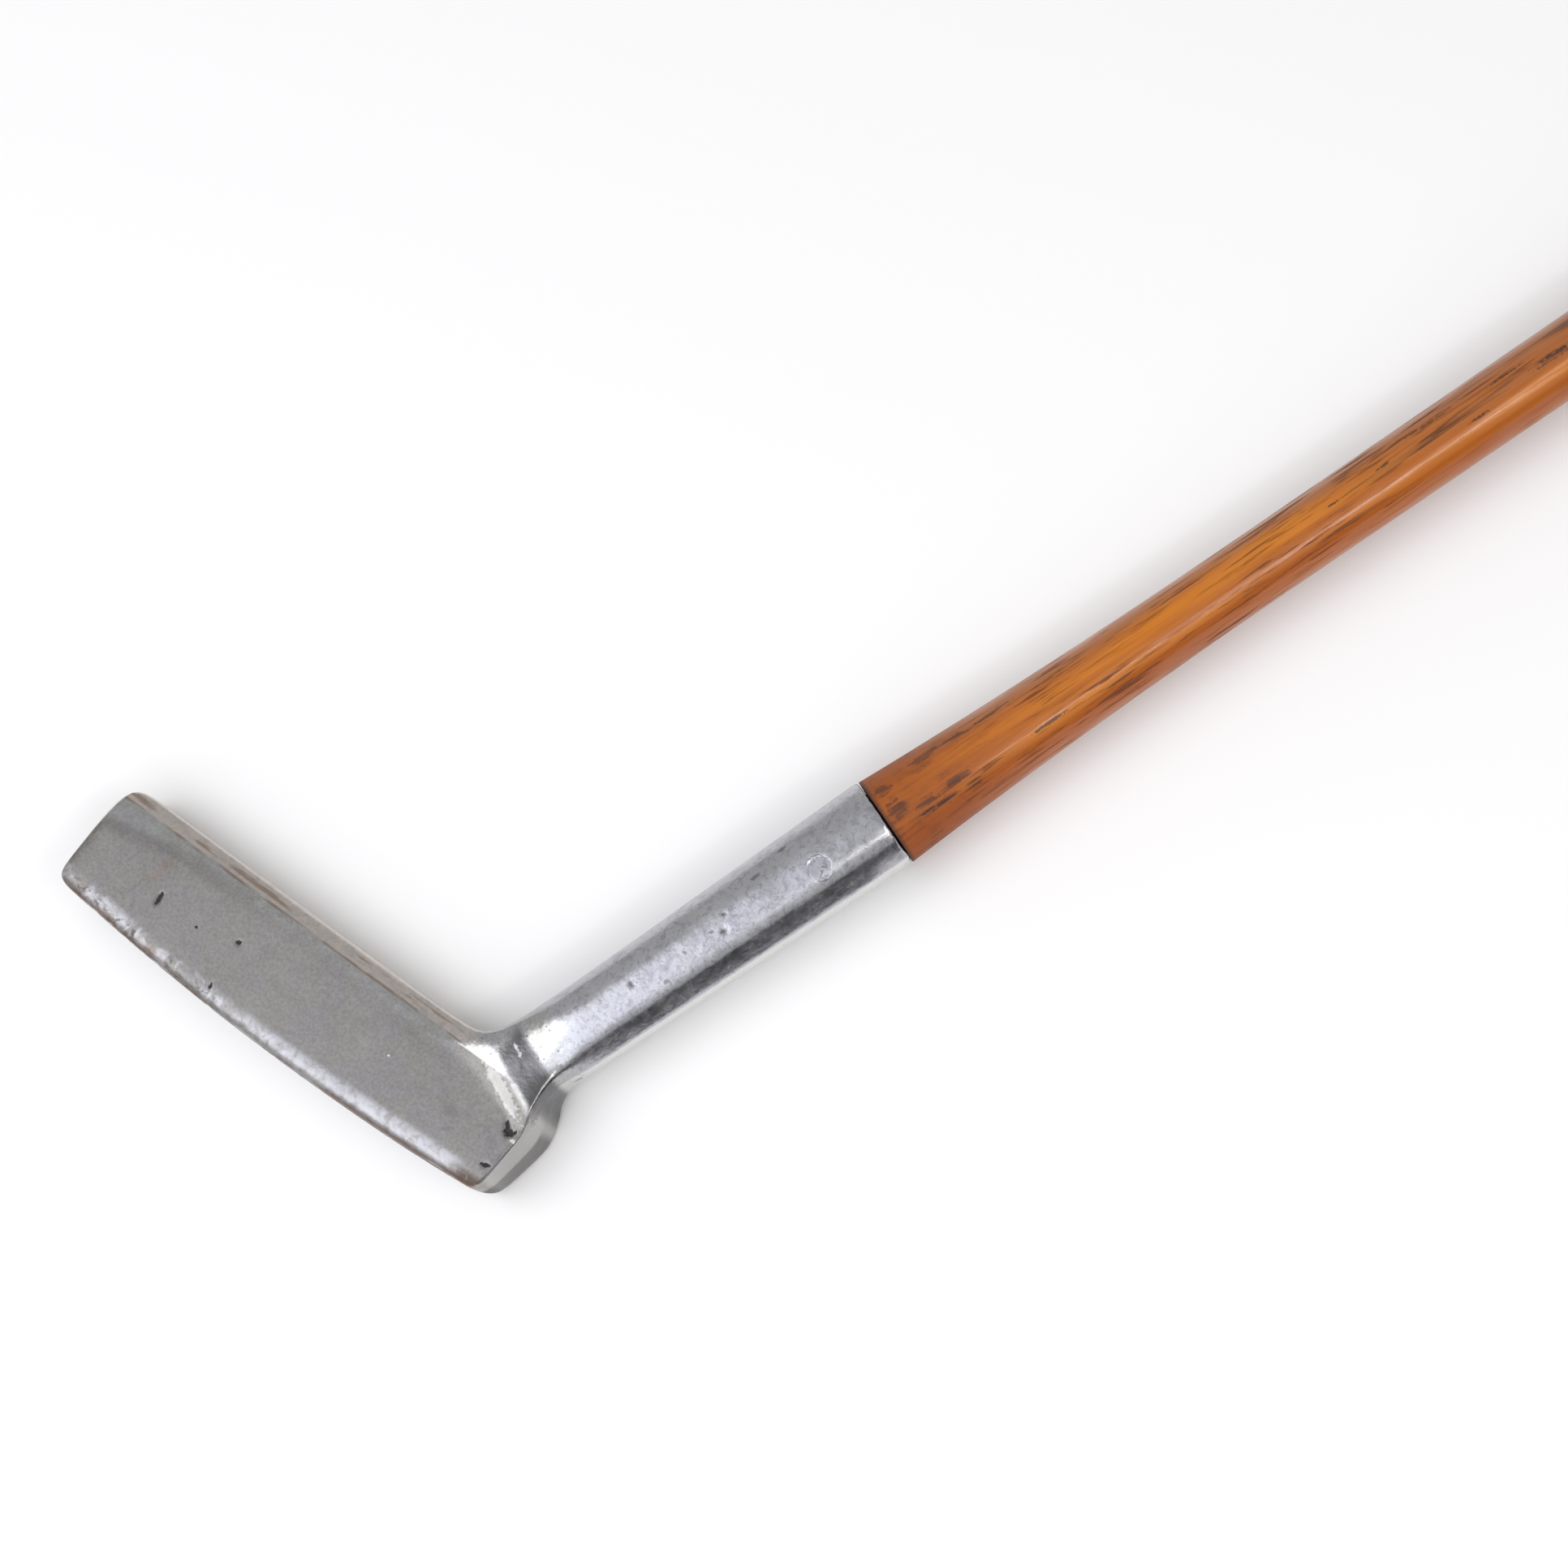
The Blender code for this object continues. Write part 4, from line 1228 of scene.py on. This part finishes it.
    def _heel_corner(self, blade: np.ndarray) -> np.ndarray:
        """How far the heel's end stands out towards its upper back corner.

        Args:
            blade: points in the blade's frame.

        Returns:
            One outward shift for each point.
        """
        near = np.interp(blade[:, 2], self.heel_line, (0, 1, 1, 0))
        return self.heel_swell * near * ramp(blade[:, 1], *self.heel_behind) * ramp(blade[:, 0], *self.heel_x)

    def _nicks(self, blade: np.ndarray, front: np.ndarray) -> np.ndarray:
        """How deep the sole's front edge is nicked.

        Args:
            blade: points in the blade's frame.
            front: which of them lie at the front.

        Returns:
            One inward shift for each point.
        """
        low = ramp(blade[:, 2], self.nick_band - CLUB.blade_height, -CLUB.blade_height)
        toeward = np.maximum(ramp(blade[:, 0], *self.nick_fade_x), self.nick_least)
        deep = np.sin(np.pi * np.minimum(low, self.nick_deepest)) * toeward
        depth = np.zeros(len(blade))
        for i in np.nonzero(front & (low > 0))[0]:
            place = Vector(blade[i] / self.nick_size)
            layers = (share * max(noise.noise(place * finer) - level, 0)
                      for finer, level, share in self.nicks)
            depth[i] = self.nick_depth * sum(layers) * deep[i]
        return depth

    def _waves(self, blade: np.ndarray) -> np.ndarray:
        """How far the surface waves in and out.

        Args:
            blade: points in the blade's frame.

        Returns:
            One outward shift for each point.
        """
        waves = []
        for point in blade:
            place = Vector(point) / self.wave_length
            waves.append(noise.noise(place) + self.small_waves * noise.noise(place * self.finer))
        return self.waviness * np.array(waves)

    def _pits(self, blade: np.ndarray, front: np.ndarray) -> np.ndarray:
        """How deep the face's pits go.

        Args:
            blade: points in the blade's frame.
            front: which of them lie at the front.

        Returns:
            One inward shift for each point.
        """
        depth = np.zeros(len(blade))
        for pit in self.marks.pits:
            across, up = blade[:, 0] - pit.x, blade[:, 2] - pit.z
            long = across * math.cos(pit.turn) + up * math.sin(pit.turn)
            wide = up * math.cos(pit.turn) - across * math.sin(pit.turn)
            depth += pit.depth * dome(long / pit.half_length, wide / pit.half_width)
        return depth * front

    def _wear(self, mesh: bpy.types.Mesh) -> None:
        """Moves the mesh's points for waves, nicks, pits, the worn flat, the waist and the heel's corner.

        Args:
            mesh: the head's mesh.
        """
        blade = points_in(mesh, CLUB.blade_to_world.inverted())
        club = points_in(mesh, CLUB.club_to_world.inverted())
        normals = np.empty(len(mesh.vertices) * 3)
        mesh.vertices.foreach_get("normal", normals)
        normals = normals.reshape(-1, 3) @ np.array(CLUB.blade_to_world.to_3x3())
        front = blade[:, 1] < self.marks.face_depth + self.front_depth
        x, turn, radius = club[:, 0], np.arctan2(-club[:, 1], club[:, 2]), np.hypot(club[:, 1], club[:, 2])
        shift = self._waves(blade) - self._nicks(blade, front) - self._pits(blade, front)
        shift += self._worn_flat(x, radius, turn) - self._waist(x, turn) + self._heel_corner(blade)
        for pit in self.marks.hosel:
            hollow = dome((x - pit.along) / pit.half_length, (turn - pit.round) * radius / pit.half_width)
            shift -= pit.depth * hollow * (radius > self.wall_inside)
        store_points(mesh, blade + normals * shift[:, None], CLUB.blade_to_world)
        above_floor = points_in(mesh, Matrix.Identity(4))
        above_floor[:, 2] = np.maximum(above_floor[:, 2], 0)
        store_points(mesh, above_floor, Matrix.Identity(4))


# Shaft


@dataclass(frozen=True)
class VarnishedHickory:
    """Varnished hickory: long dark grain, redder on the heel side, browner on the toe side, where the turning
    edge also carries a painted reflection.
    """

    name: str = "varnished_hickory"
    grain: tuple[Colour, Colour] = ((0.400, 0.110, 0.010), (0.540, 0.170, 0.011))
    grain_lines: Range = (0.36, 0.62)
    band: Tone = Tone(0.5, (0.350, 0.098, 0.012))
    band_lines: Range = (0.50, 0.66)
    heel_side: Tone = Tone(0.65, (0.325, 0.072, 0.010))
    heel_turn: Range = (0.58, 0.90)
    # Painted reflection: the toe side's turning edge is painted a greyer, pinker brown as the surroundings'
    # reflection in the varnish.
    toe_side_sheen: Tone = Tone(0.75, (0.345, 0.128, 0.044))
    toe_turn: Range = (-0.22, -0.62)
    far_toe_side: Tone = Tone(0.65, (0.300, 0.090, 0.026))
    far_along: Range = (165 * MM, 215 * MM)
    far_turn: Range = (0.42, 0.12)
    pore: Tone = Tone(0.75, (0.085, 0.026, 0.010))
    pore_lines: Range = (0.52, 0.64)
    pore_bands: Range = (0.42, 0.58)
    far_pore: Tone = Tone(0.75, (0.080, 0.030, 0.016))
    far_pore_lines: Range = (0.52, 0.60)
    near_joint: Tone = Tone(0.70, (0.270, 0.060, 0.010))
    joint_reach: Range = (34 * MM, 3 * MM)
    joint_stain: Tone = Tone(0.60, (0.080, 0.030, 0.016))
    smudge: Tone = Tone(0.75, (0.080, 0.030, 0.016))
    smudge_lines: Range = (0.36, 0.60)
    crack: Tone = Tone(0.80, (0.040, 0.020, 0.014))
    rim: Tone = Tone(0.85, (0.045, 0.022, 0.018))
    rim_reach: Range = (1.3 * MM, 0.3 * MM)
    radius: float = 7.6 * MM
    roughness: float = 0.30
    dull_roughness: float = 0.3
    specular: float = 0.30
    varnish: float = 0.55
    varnish_lines: Range = (0.62, 0.40)
    coat_roughness: float = 0.10
    grain_depth: float = 0.03 * MM
    pore_sink: float = 0.4
    smudges: tuple[RoundMark, ...] = (
        round_mark(80.3, 14.0, 2.0, 1.9), round_mark(85.3, 31.0, 2.2, 1.5), round_mark(88.3, 40.0, 2.5, 0.8),
        round_mark(92.4, 25.0, 2.6, 0.8), round_mark(94.0, 44.0, 2.0, 0.8),
        round_mark(80.0, -17.0, 1.8, 1.2), round_mark(89.6, -31.0, 3.0, 0.9),
        round_mark(95.5, -27.0, 3.4, 0.8), round_mark(219.5, 6.5, 5.0, 1.0),
        round_mark(104.0, -30.0, 4.0, 0.6), round_mark(196.0, -22.0, 6.0, 0.5))
    cracks: tuple[RoundMark, ...] = (
        round_mark(111.4, 34.5, 4.0, 0.34), round_mark(203.8, 20.0, 3.2, 0.34),
        round_mark(184.8, -3.2, 2.0, 0.32), round_mark(173.8, 2.0, 1.5, 0.26),
        round_mark(221.0, 4.0, 4.0, 0.4), round_mark(212.0, -14.0, 5.0, 0.25),
        round_mark(84.5, 38.0, 1.6, 0.22), round_mark(88.0, 41.0, 1.8, 0.22))

    def make(self) -> bpy.types.Material:
        """Builds the material.

        Returns:
            The material.
        """
        surface = Surface(self.name, self.grain[1], self.roughness)
        nodes = surface.nodes
        along, turn = surface.along_and_turn()
        grain = surface.effect(EFFECTS.streaks, surface.club, Per_Metre=420.0, Stretch=30.0)
        pores = surface.effect(EFFECTS.streaks, surface.club, Per_Metre=1500.0, Stretch=18.0)
        broad = surface.effect(EFFECTS.streaks, surface.club, Per_Metre=150.0, Stretch=8.0)
        patches = surface.effect(EFFECTS.blotches, surface.club, Per_Metre=260.0, Cover=0.45, Softness=0.18)
        lines = nodes.between(pores, *self.smudge_lines)
        near_joint = nodes.between(along, *(CLUB.joint + reach for reach in self.joint_reach))
        rim = nodes.between(along, *(CLUB.joint + reach for reach in self.rim_reach))
        far_toeward = nodes.both(nodes.between(along, *self.far_along), nodes.between(turn, *self.far_turn))
        dark = nodes.both(nodes.between(pores, *self.pore_lines), nodes.between(broad, *self.pore_bands))
        far_dark = nodes.both(nodes.between(grain, *self.far_pore_lines), far_toeward)
        smudges = nodes.both(marks_round(surface, self.smudges, self.radius, ragged=0.6), lines)
        cracks = marks_round(surface, self.cracks, self.radius, ragged=0.5)
        colour = nodes.mix(nodes.between(grain, *self.grain_lines), *self.grain)
        # The toe side's tone is a painted reflection; the other tones are the wood's own.
        for mask, tone in (
                (nodes.between(broad, *self.band_lines), self.band),
                (nodes.between(turn, *self.heel_turn), self.heel_side), (far_toeward, self.far_toe_side),
                (nodes.between(turn, *self.toe_turn), self.toe_side_sheen), (dark, self.pore),
                (far_dark, self.far_pore), (near_joint, self.near_joint),
                (nodes.both(patches, near_joint, lines), self.joint_stain), (smudges, self.smudge),
                (cracks, self.crack), (rim, self.rim)):
            colour = nodes.paint(colour, mask, tone)
        surface.set("Base Color", colour)
        dull = nodes.either(dark, near_joint)
        surface.set("Roughness", nodes.total(self.roughness, (dull, self.dull_roughness)))
        surface.set("Specular IOR Level", self.specular)
        coat = nodes.math("MULTIPLY", nodes.between(pores, *self.varnish_lines), self.varnish)
        surface.set("Coat Weight", nodes.both(coat, nodes.less(near_joint)))
        surface.set("Coat Roughness", self.coat_roughness)
        surface.set("Normal", surface.bump(nodes.total(pores, (dark, -self.pore_sink)), self.grain_depth))
        return surface.material


@dataclass
class Shaft:
    """The turned hickory, varnished."""

    divisions: int = 1

    def build(self) -> None:
        """Makes and dresses the shaft."""
        wood = solid_copy("shaft", "shaft_wood", self.divisions)
        smooth(wood, HARD_EDGE)
        dress(wood, VarnishedHickory().make(), Slot.WOOD, "shaft")


# Grip


@dataclass(frozen=True)
class WovenTape:
    """Plain woven tape."""

    name: str = "woven_tape"
    shade: Colour = (0.380, 0.310, 0.220)
    light: Colour = (0.500, 0.430, 0.320)
    roughness: float = 0.95
    threads: float = 1400.0
    thread_depth: float = 0.1 * MM

    def make(self) -> bpy.types.Material:
        """Builds the material.

        Returns:
            The material.
        """
        surface = Surface(self.name, self.light, self.roughness)
        weave = surface.nodes.add("ShaderNodeTexChecker", {"Vector": surface.club, "Scale": self.threads})
        surface.set("Base Color", surface.nodes.mix(weave.outputs["Fac"], self.shade, self.light))
        surface.set("Normal", surface.bump(weave.outputs["Fac"], self.thread_depth, strength=0.4))
        return surface.material


@dataclass(frozen=True)
class RubbedLeather:
    """Dark brown hide, rubbed lighter in patches."""

    name: str = "rubbed_leather"
    dark: Colour = (0.060, 0.027, 0.015)
    light: Colour = (0.130, 0.062, 0.032)
    stain: Tone = Tone(0.35, (0.040, 0.020, 0.013))
    roughness: float = 0.45
    stain_roughness: float = 0.18
    hide: float = 1300.0
    crease: Range = (0.0, 0.16)
    crease_depth: float = 0.12 * MM
    grain_depth: float = 0.05 * MM

    def make(self) -> bpy.types.Material:
        """Builds the material.

        Returns:
            The material.
        """
        surface = Surface(self.name, self.light, self.roughness)
        nodes = surface.nodes
        rubbed = surface.effect(EFFECTS.blotches, surface.club, Per_Metre=90.0, Cover=0.45, Softness=0.2)
        stain = surface.effect(EFFECTS.blotches, surface.club, Per_Metre=420.0, Cover=0.5, Softness=0.2)
        colour = nodes.mix(rubbed, self.dark, self.light)
        surface.set("Base Color", nodes.paint(colour, stain, self.stain))
        surface.set("Roughness", nodes.total(self.roughness, (stain, self.stain_roughness)))
        hide = nodes.add("ShaderNodeTexVoronoi", {"Vector": surface.club, "Scale": self.hide},
                         feature="DISTANCE_TO_EDGE")
        creased = surface.bump(nodes.between(hide.outputs["Distance"], *self.crease), self.crease_depth,
                               strength=0.6)
        grain = nodes.noise(surface.club, 2 * self.hide)
        surface.set("Normal", surface.bump(grain, self.grain_depth, strength=0.4, after=creased))
        return surface.material


@dataclass(frozen=True)
class WaxedLinen:
    """Black waxed linen thread, its fibres showing."""

    name: str = "waxed_linen"
    dark: Colour = (0.016, 0.013, 0.012)
    light: Colour = (0.060, 0.050, 0.044)
    roughness: float = 0.5
    sheen: float = 0.15
    fibres: float = 2800.0
    fibre_depth: float = 0.08 * MM

    def make(self) -> bpy.types.Material:
        """Builds the material.

        Returns:
            The material.
        """
        surface = Surface(self.name, self.light, self.roughness)
        fibres = surface.nodes.noise(surface.club, self.fibres)
        surface.set("Base Color", surface.nodes.mix(fibres, self.dark, self.light))
        surface.set("Normal", surface.bump(fibres, self.fibre_depth, strength=0.7))
        surface.set("Sheen Weight", self.sheen)
        return surface.material


@dataclass(frozen=True)
class DullBrass:
    """Dull brass, browner in scattered blotches."""

    name: str = "dull_brass"
    bright: Colour = (0.560, 0.390, 0.160)
    stain: Colour = (0.240, 0.150, 0.060)
    roughness: float = 0.30
    stain_roughness: float = 0.25
    dents: float = 2200.0
    dent_depth: float = 0.05 * MM

    def make(self) -> bpy.types.Material:
        """Builds the material.

        Returns:
            The material.
        """
        surface = Surface(self.name, self.bright, self.roughness, 1.0)
        nodes = surface.nodes
        stain = surface.effect(EFFECTS.blotches, surface.club, Per_Metre=900.0, Cover=0.5, Softness=0.2)
        surface.set("Base Color", nodes.mix(stain, self.bright, self.stain))
        surface.set("Roughness", nodes.total(self.roughness, (stain, self.stain_roughness)))
        dents = nodes.noise(surface.club, self.dents)
        surface.set("Normal", surface.bump(dents, self.dent_depth, strength=0.5))
        return surface.material


@dataclass
class Grip:
    """Leather wound over cloth, whipped with waxed thread and tacked at both ends.

    The leather strip's section is written in millimetres, each point as its place along the club and its
    height over the level of a turn's hollow. Its outer side starts on the skived lap, and its inner side
    runs back under it.
    """

    divisions: int = 1
    pitch: float = 22 * MM
    nip: float = 0.7 * MM
    nip_lean: float = 1.6 * MM
    nip_extra: float = 0.2 * MM
    clearance: float = 0.3 * MM
    steps_round: int = 48
    wound_level: float = 12 * MM
    strip_outer: tuple[Range, ...] = (
        (0.0, 0.22), (0.35, 0.50), (1.1, 0.62), (3.4, 0.60), (9.0, 0.34), (15.0, 0.12), (21.0, 0.0),
        (23.0, -0.20), (24.5, -0.50))
    strip_inner: tuple[Range, ...] = ((24.5, -1.40), (15.0, -1.40), (4.2, -1.40), (2.6, -0.40), (0.0, 0.06))
    spare_turns: int = 2
    leather_edge: float = math.radians(48)
    thread: float = 0.9 * MM
    thread_steps: int = 36
    thread_fill: float = 0.485
    thread_roundness: int = 2
    tuck: float = 0.25 * MM
    tuck_steps: int = 5
    thread_edge: float = math.radians(60)
    near: float = field(init=False)
    far: float = field(init=False)
    whippings: dict[str, tuple[float, float, float]] = field(init=False)

    def __post_init__(self) -> None:
        """Reads the leather's reach and each whipping's place from the CAD nodes."""
        leather = CLUB.in_club("leather_grip")
        self.near, self.far = float(leather[:, 0].min()), float(leather[:, 0].max())
        self.whippings = {}
        for name in ("lower", "butt"):
            points = CLUB.in_club(name + "_whipping")
            radius = np.hypot(points[:, 1], points[:, 2])
            self.whippings[name] = (float(points[:, 0].min()), float(points[:, 0].max()),
                                    float(radius.min()) - self.clearance)

    def build(self) -> None:
        """Makes and dresses the cloth, leather, thread and tacks."""
        listing = solid_copy("underlisting", "listing_tape", self.divisions)
        smooth(listing)
        dress(listing, WovenTape().make(), Slot.CLOTH, "underlisting")
        dress(self._wound_leather(), RubbedLeather().make(), Slot.LEATHER, "leather_grip")
        waxed = WaxedLinen().make()
        for name in self.whippings:
            dress(self._wound_thread(name), waxed, Slot.THREAD, name + "_whipping")
        brass = DullBrass().make()
        for name in ("lower_tack", "butt_tack"):
            tack = solid_copy(name, name + "_head", self.divisions)
            smooth(tack)
            dress(tack, brass, Slot.BRASS, name)

    def _wound_leather(self) -> bpy.types.Object:
        """The strip, skived where it laps, wound in a helix and cut square at both ends.

        Returns:
            The leather.
        """
        section = self.strip_outer + self.strip_inner
        turns = math.ceil((self.far - self.near) / self.pitch) + 2 * self.spare_turns
        start = self.near - self.spare_turns * self.pitch
        bpy.ops.object.select_all(action="DESELECT")
        bpy.ops.mesh.primitive_circle_add(vertices=len(section), radius=MM, fill_type="NOTHING")
        strip = bpy.context.object
        strip.name = strip.data.name = "grip_leather"
        for vertex, (x, height) in zip(strip.data.vertices, section):
            vertex.co = (start + x * MM, 0, self.wound_level + height * MM)
        wound = strip.modifiers.new("wound", "SCREW")
        wound.axis, wound.angle, wound.screw_offset = "X", FULL_TURN * turns, self.pitch * turns
        wound.steps = wound.render_steps = self.steps_round * turns
        wound.use_normal_calculate = True
        apply_all(strip)
        self._cut(strip, self.near, lower=True)
        self._cut(strip, self.far, lower=False)
        points = points_in(strip.data, Matrix.Identity(4))
        x, radius = points[:, 0], np.hypot(points[:, 1], points[:, 2])
        nipped = self._nipped(x) * (radius > self.wound_level - MM)
        points[:, 1:] *= ((radius - self.wound_level + self._hollow_radius(x) - nipped) / radius)[:, None]
        store_points(strip.data, points, CLUB.club_to_world)
        smooth(strip, self.leather_edge)
        return strip

    @staticmethod
    def _cut(strip: bpy.types.Object, x: float, lower: bool) -> None:
        """Cuts the wound strip square and closes the cut.

        Args:
            strip: the wound strip.
            x: where it is cut.
            lower: whether its lower end comes off.
        """
        select_only(strip)
        bpy.ops.object.mode_set(mode="EDIT")
        bpy.ops.mesh.select_all(action="SELECT")
        bpy.ops.mesh.bisect(plane_co=(x, 0, 0), plane_no=(1, 0, 0), use_fill=True,
                            clear_inner=lower, clear_outer=not lower)
        bpy.ops.mesh.select_all(action="SELECT")
        bpy.ops.mesh.normals_make_consistent(inside=False)
        bpy.ops.object.mode_set(mode="OBJECT")

    def _hollow_radius(self, x: np.ndarray) -> np.ndarray:
        """Outer radius of the leather in a turn's hollow.

        Args:
            x: places along the club.

        Returns:
            One radius for each place.
        """
        (a, b, low), (c, d, high) = self.whippings["lower"], self.whippings["butt"]
        start, end = (a + b) / 2, (c + d) / 2
        return low + (high - low) * (x - start) / (end - start) + self.nip

    def _nipped(self, x: np.ndarray) -> np.ndarray:
        """How far the thread pulls the leather in.

        Args:
            x: places along the club.

        Returns:
            One depth for each place.
        """
        pulls = [1 - ramp(np.maximum(start - x, x - end), 0, self.nip_lean)
                 for start, end, _ in self.whippings.values()]
        return np.maximum(*pulls) * (self.nip + self.nip_extra)

    def _wound_thread(self, name: str) -> bpy.types.Object:
        """One whipping as a single thread laid turn against turn, its ends tucked under.

        Args:
            name: the whipping's place, lower or butt.

        Returns:
            The thread.
        """
        start, end, seat = self.whippings[name]
        turns = (end - start) / self.thread
        count = int(turns * self.thread_steps)
        line = bpy.data.curves.new(name + "_thread", "CURVE")
        line.dimensions, line.bevel_depth = "3D", self.thread_fill * self.thread
        line.bevel_resolution = self.thread_roundness
        line.use_fill_caps = True
        spline = line.splines.new("POLY")
        spline.points.add(count)
        first, last = start + self.thread / 2, end - self.thread / 2
        for i, point in enumerate(spline.points):
            share = i / count
            angle = FULL_TURN * (turns - 1) * share
            tucked = max(0.0, 1 - min(i, count - i) / self.tuck_steps)
            radius = seat + self.clearance + self.thread / 2 - self.tuck * tucked
            place = Vector((first + (last - first) * share,
                            radius * math.cos(angle), radius * math.sin(angle)))
            point.co = (*(CLUB.club_to_world @ place), 1)
        made = bpy.data.objects.new(name + "_thread", line)
        bpy.context.scene.collection.objects.link(made)
        select_only(made)
        bpy.ops.object.convert(target="MESH")
        made = bpy.context.object
        smooth(made, self.thread_edge)
        return made


# Studio


class LampShape(Enum):
    """The outline of a studio lamp's face."""

    RECTANGLE = "RECTANGLE"
    ELLIPSE = "ELLIPSE"

    @property
    def filled(self) -> float:
        """The share of its width times its height that it fills."""
        return math.pi / 4 if self is LampShape.ELLIPSE else 1.0


@dataclass(frozen=True)
class Softbox:
    """A lamp with a plain bright face, a metre from the neck and turned to it."""

    name: str
    towards: tuple[float, float, float]
    size: tuple[float, float]
    level: float
    colour: Colour
    shape: LampShape = LampShape.RECTANGLE
    distance: float = 1.0

    def build(self) -> None:
        """Hangs the lamp; a level of 1 is plain white, and the first size runs across the world's x."""
        lamp = bpy.data.lights.new(self.name, "AREA")
        lamp.shape, lamp.size, lamp.size_y = self.shape.value, *self.size
        lamp.energy = self.level * math.pi * self.size[0] * self.size[1] * self.shape.filled
        lamp.color = self.colour
        placed = bpy.data.objects.new(self.name, lamp)
        bpy.context.scene.collection.objects.link(placed)
        towards = Vector(self.towards).normalized()
        placed.location = CLUB.club_to_world.translation + towards * self.distance
        up = towards.cross(Vector((1, 0, 0))).normalized()
        across = up.cross(towards).normalized()
        placed.rotation_mode = "QUATERNION"
        placed.rotation_quaternion = Matrix((across, up, towards)).transposed().to_quaternion()


@dataclass(frozen=True)
class PalePaper:
    """The floor's plain white paper."""

    name: str = "pale_paper"
    colour: Colour = (0.880, 0.877, 0.870)
    roughness: float = 0.9

    def make(self) -> bpy.types.Material:
        """Builds the material."""
        return Surface(self.name, self.colour, self.roughness).material


@dataclass
class Studio:
    """The pale floor, the soft light and the photograph's camera."""

    picture_side: float = 1932.0
    focal_pixels: float = 3400.0
    distance: float = 0.490
    roll: float = math.radians(34.33)
    side_turn: float = math.radians(20.7)
    joint_pixel: tuple[float, float] = (1089.4, 1013.5)
    floor_side: float = 6.0
    low_grey: Colour = (0.600, 0.600, 0.595)
    high_grey: Colour = (0.630, 0.630, 0.635)
    grey_rise: Range = (0.0, 0.9)
    dark_grey: Colour = (0.020, 0.020, 0.022)
    dark_heelward: Range = (0.45, 0.75)
    dark_height: Range = (0.34, 0.26)
    sensor_width: float = 36.0
    clip_start: float = 0.01
    lamps: tuple[Softbox, ...] = (
        Softbox("overhead_window", (-0.33, -0.20, 0.92), (0.60, 1.95), 1.50, (0.86, 0.89, 1.0),
                LampShape.ELLIPSE),
        Softbox("left_window", (-0.52, 0.35, 0.78), (0.55, 0.55), 2.1, (1.0, 0.99, 0.97)),
        Softbox("front_window", (-0.80, -0.45, 0.55), (0.9, 0.9), 0.9, (1.0, 0.99, 0.97)),
        Softbox("strip_window", (0.28, -0.62, 0.73), (0.44, 0.06), 8.0, (1.0, 0.98, 0.95)),
        Softbox("side_window", (0.44, -0.55, 0.71), (0.36, 0.34), 2.6, (1.0, 0.98, 0.95)))

    def build(self) -> None:
        """Places floor, lights and camera."""
        self._floor()
        self._world()
        for lamp in self.lamps:
            lamp.build()
        self._camera()

    def _floor(self) -> None:
        """A wide pale floor under the club."""
        bpy.ops.object.select_all(action="DESELECT")
        bpy.ops.mesh.primitive_plane_add(size=self.floor_side, location=(0, 0, 0))
        floor = bpy.context.object
        floor.name = floor.data.name = "pale_floor"
        floor.data.materials.append(PalePaper().make())

    def _world(self) -> None:
        """Plain grey surroundings with a darker horizon on the heel side."""
        world = bpy.data.worlds.new("studio")
        bpy.context.scene.world = world
        world.use_nodes = True
        tree = world.node_tree
        nodes = Nodes(tree)
        way = nodes.add("ShaderNodeTexCoord").outputs["Generated"]
        _, toeward, height = nodes.add("ShaderNodeSeparateXYZ", {0: way}).outputs
        heelward = nodes.math("MULTIPLY", toeward, -1.0)
        dark = nodes.both(nodes.between(heelward, *self.dark_heelward),
                          nodes.between(height, *self.dark_height))
        grey = nodes.mix(nodes.between(height, *self.grey_rise), self.low_grey, self.high_grey)
        room = nodes.mix(dark, grey, self.dark_grey)
        background = tree.nodes["Background"]
        tree.links.new(room, background.inputs["Color"])
        background.inputs["Strength"].default_value = 1.0

    def _camera(self) -> None:
        """The photograph's camera, placed from where the joint and the shaft lie in the picture."""
        shaft = Vector((math.cos(self.roll), math.sin(self.roll), 0))
        heelward = Vector((math.sin(self.roll), -math.cos(self.roll), 0))
        heelward = math.cos(self.side_turn) * heelward + Vector((0, 0, math.sin(self.side_turn)))
        outward = heelward.cross(shaft)
        centre = self.picture_side / 2
        across = (self.joint_pixel[0] - centre) / self.focal_pixels * self.distance
        down = (self.joint_pixel[1] - centre) / self.focal_pixels * self.distance
        turn = Matrix((shaft, -heelward, outward)).transposed().to_4x4()
        club_in_camera = (Matrix.Translation((across, -down, -self.distance)) @ turn
                          @ Matrix.Translation((-CLUB.joint, 0, 0)))
        lens = bpy.data.cameras.new("photo_camera")
        lens.sensor_width = self.sensor_width
        lens.lens = self.focal_pixels / self.picture_side * lens.sensor_width
        lens.clip_start = self.clip_start
        camera = bpy.data.objects.new("photo_camera", lens)
        bpy.context.scene.collection.objects.link(camera)
        camera.matrix_world = CLUB.club_to_world @ club_in_camera.inverted()
        bpy.context.scene.camera = camera


def main() -> None:
    """Builds the pieces in order, then the studio."""
    logging.basicConfig(level=logging.INFO, format="%(name)s: %(message)s")
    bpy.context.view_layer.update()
    bpy.context.scene.view_settings.view_transform = "Standard"
    for part in (Head(), Shaft(), Grip()):
        part.build()
    Studio().build()


if __name__ == "__main__":
    main()
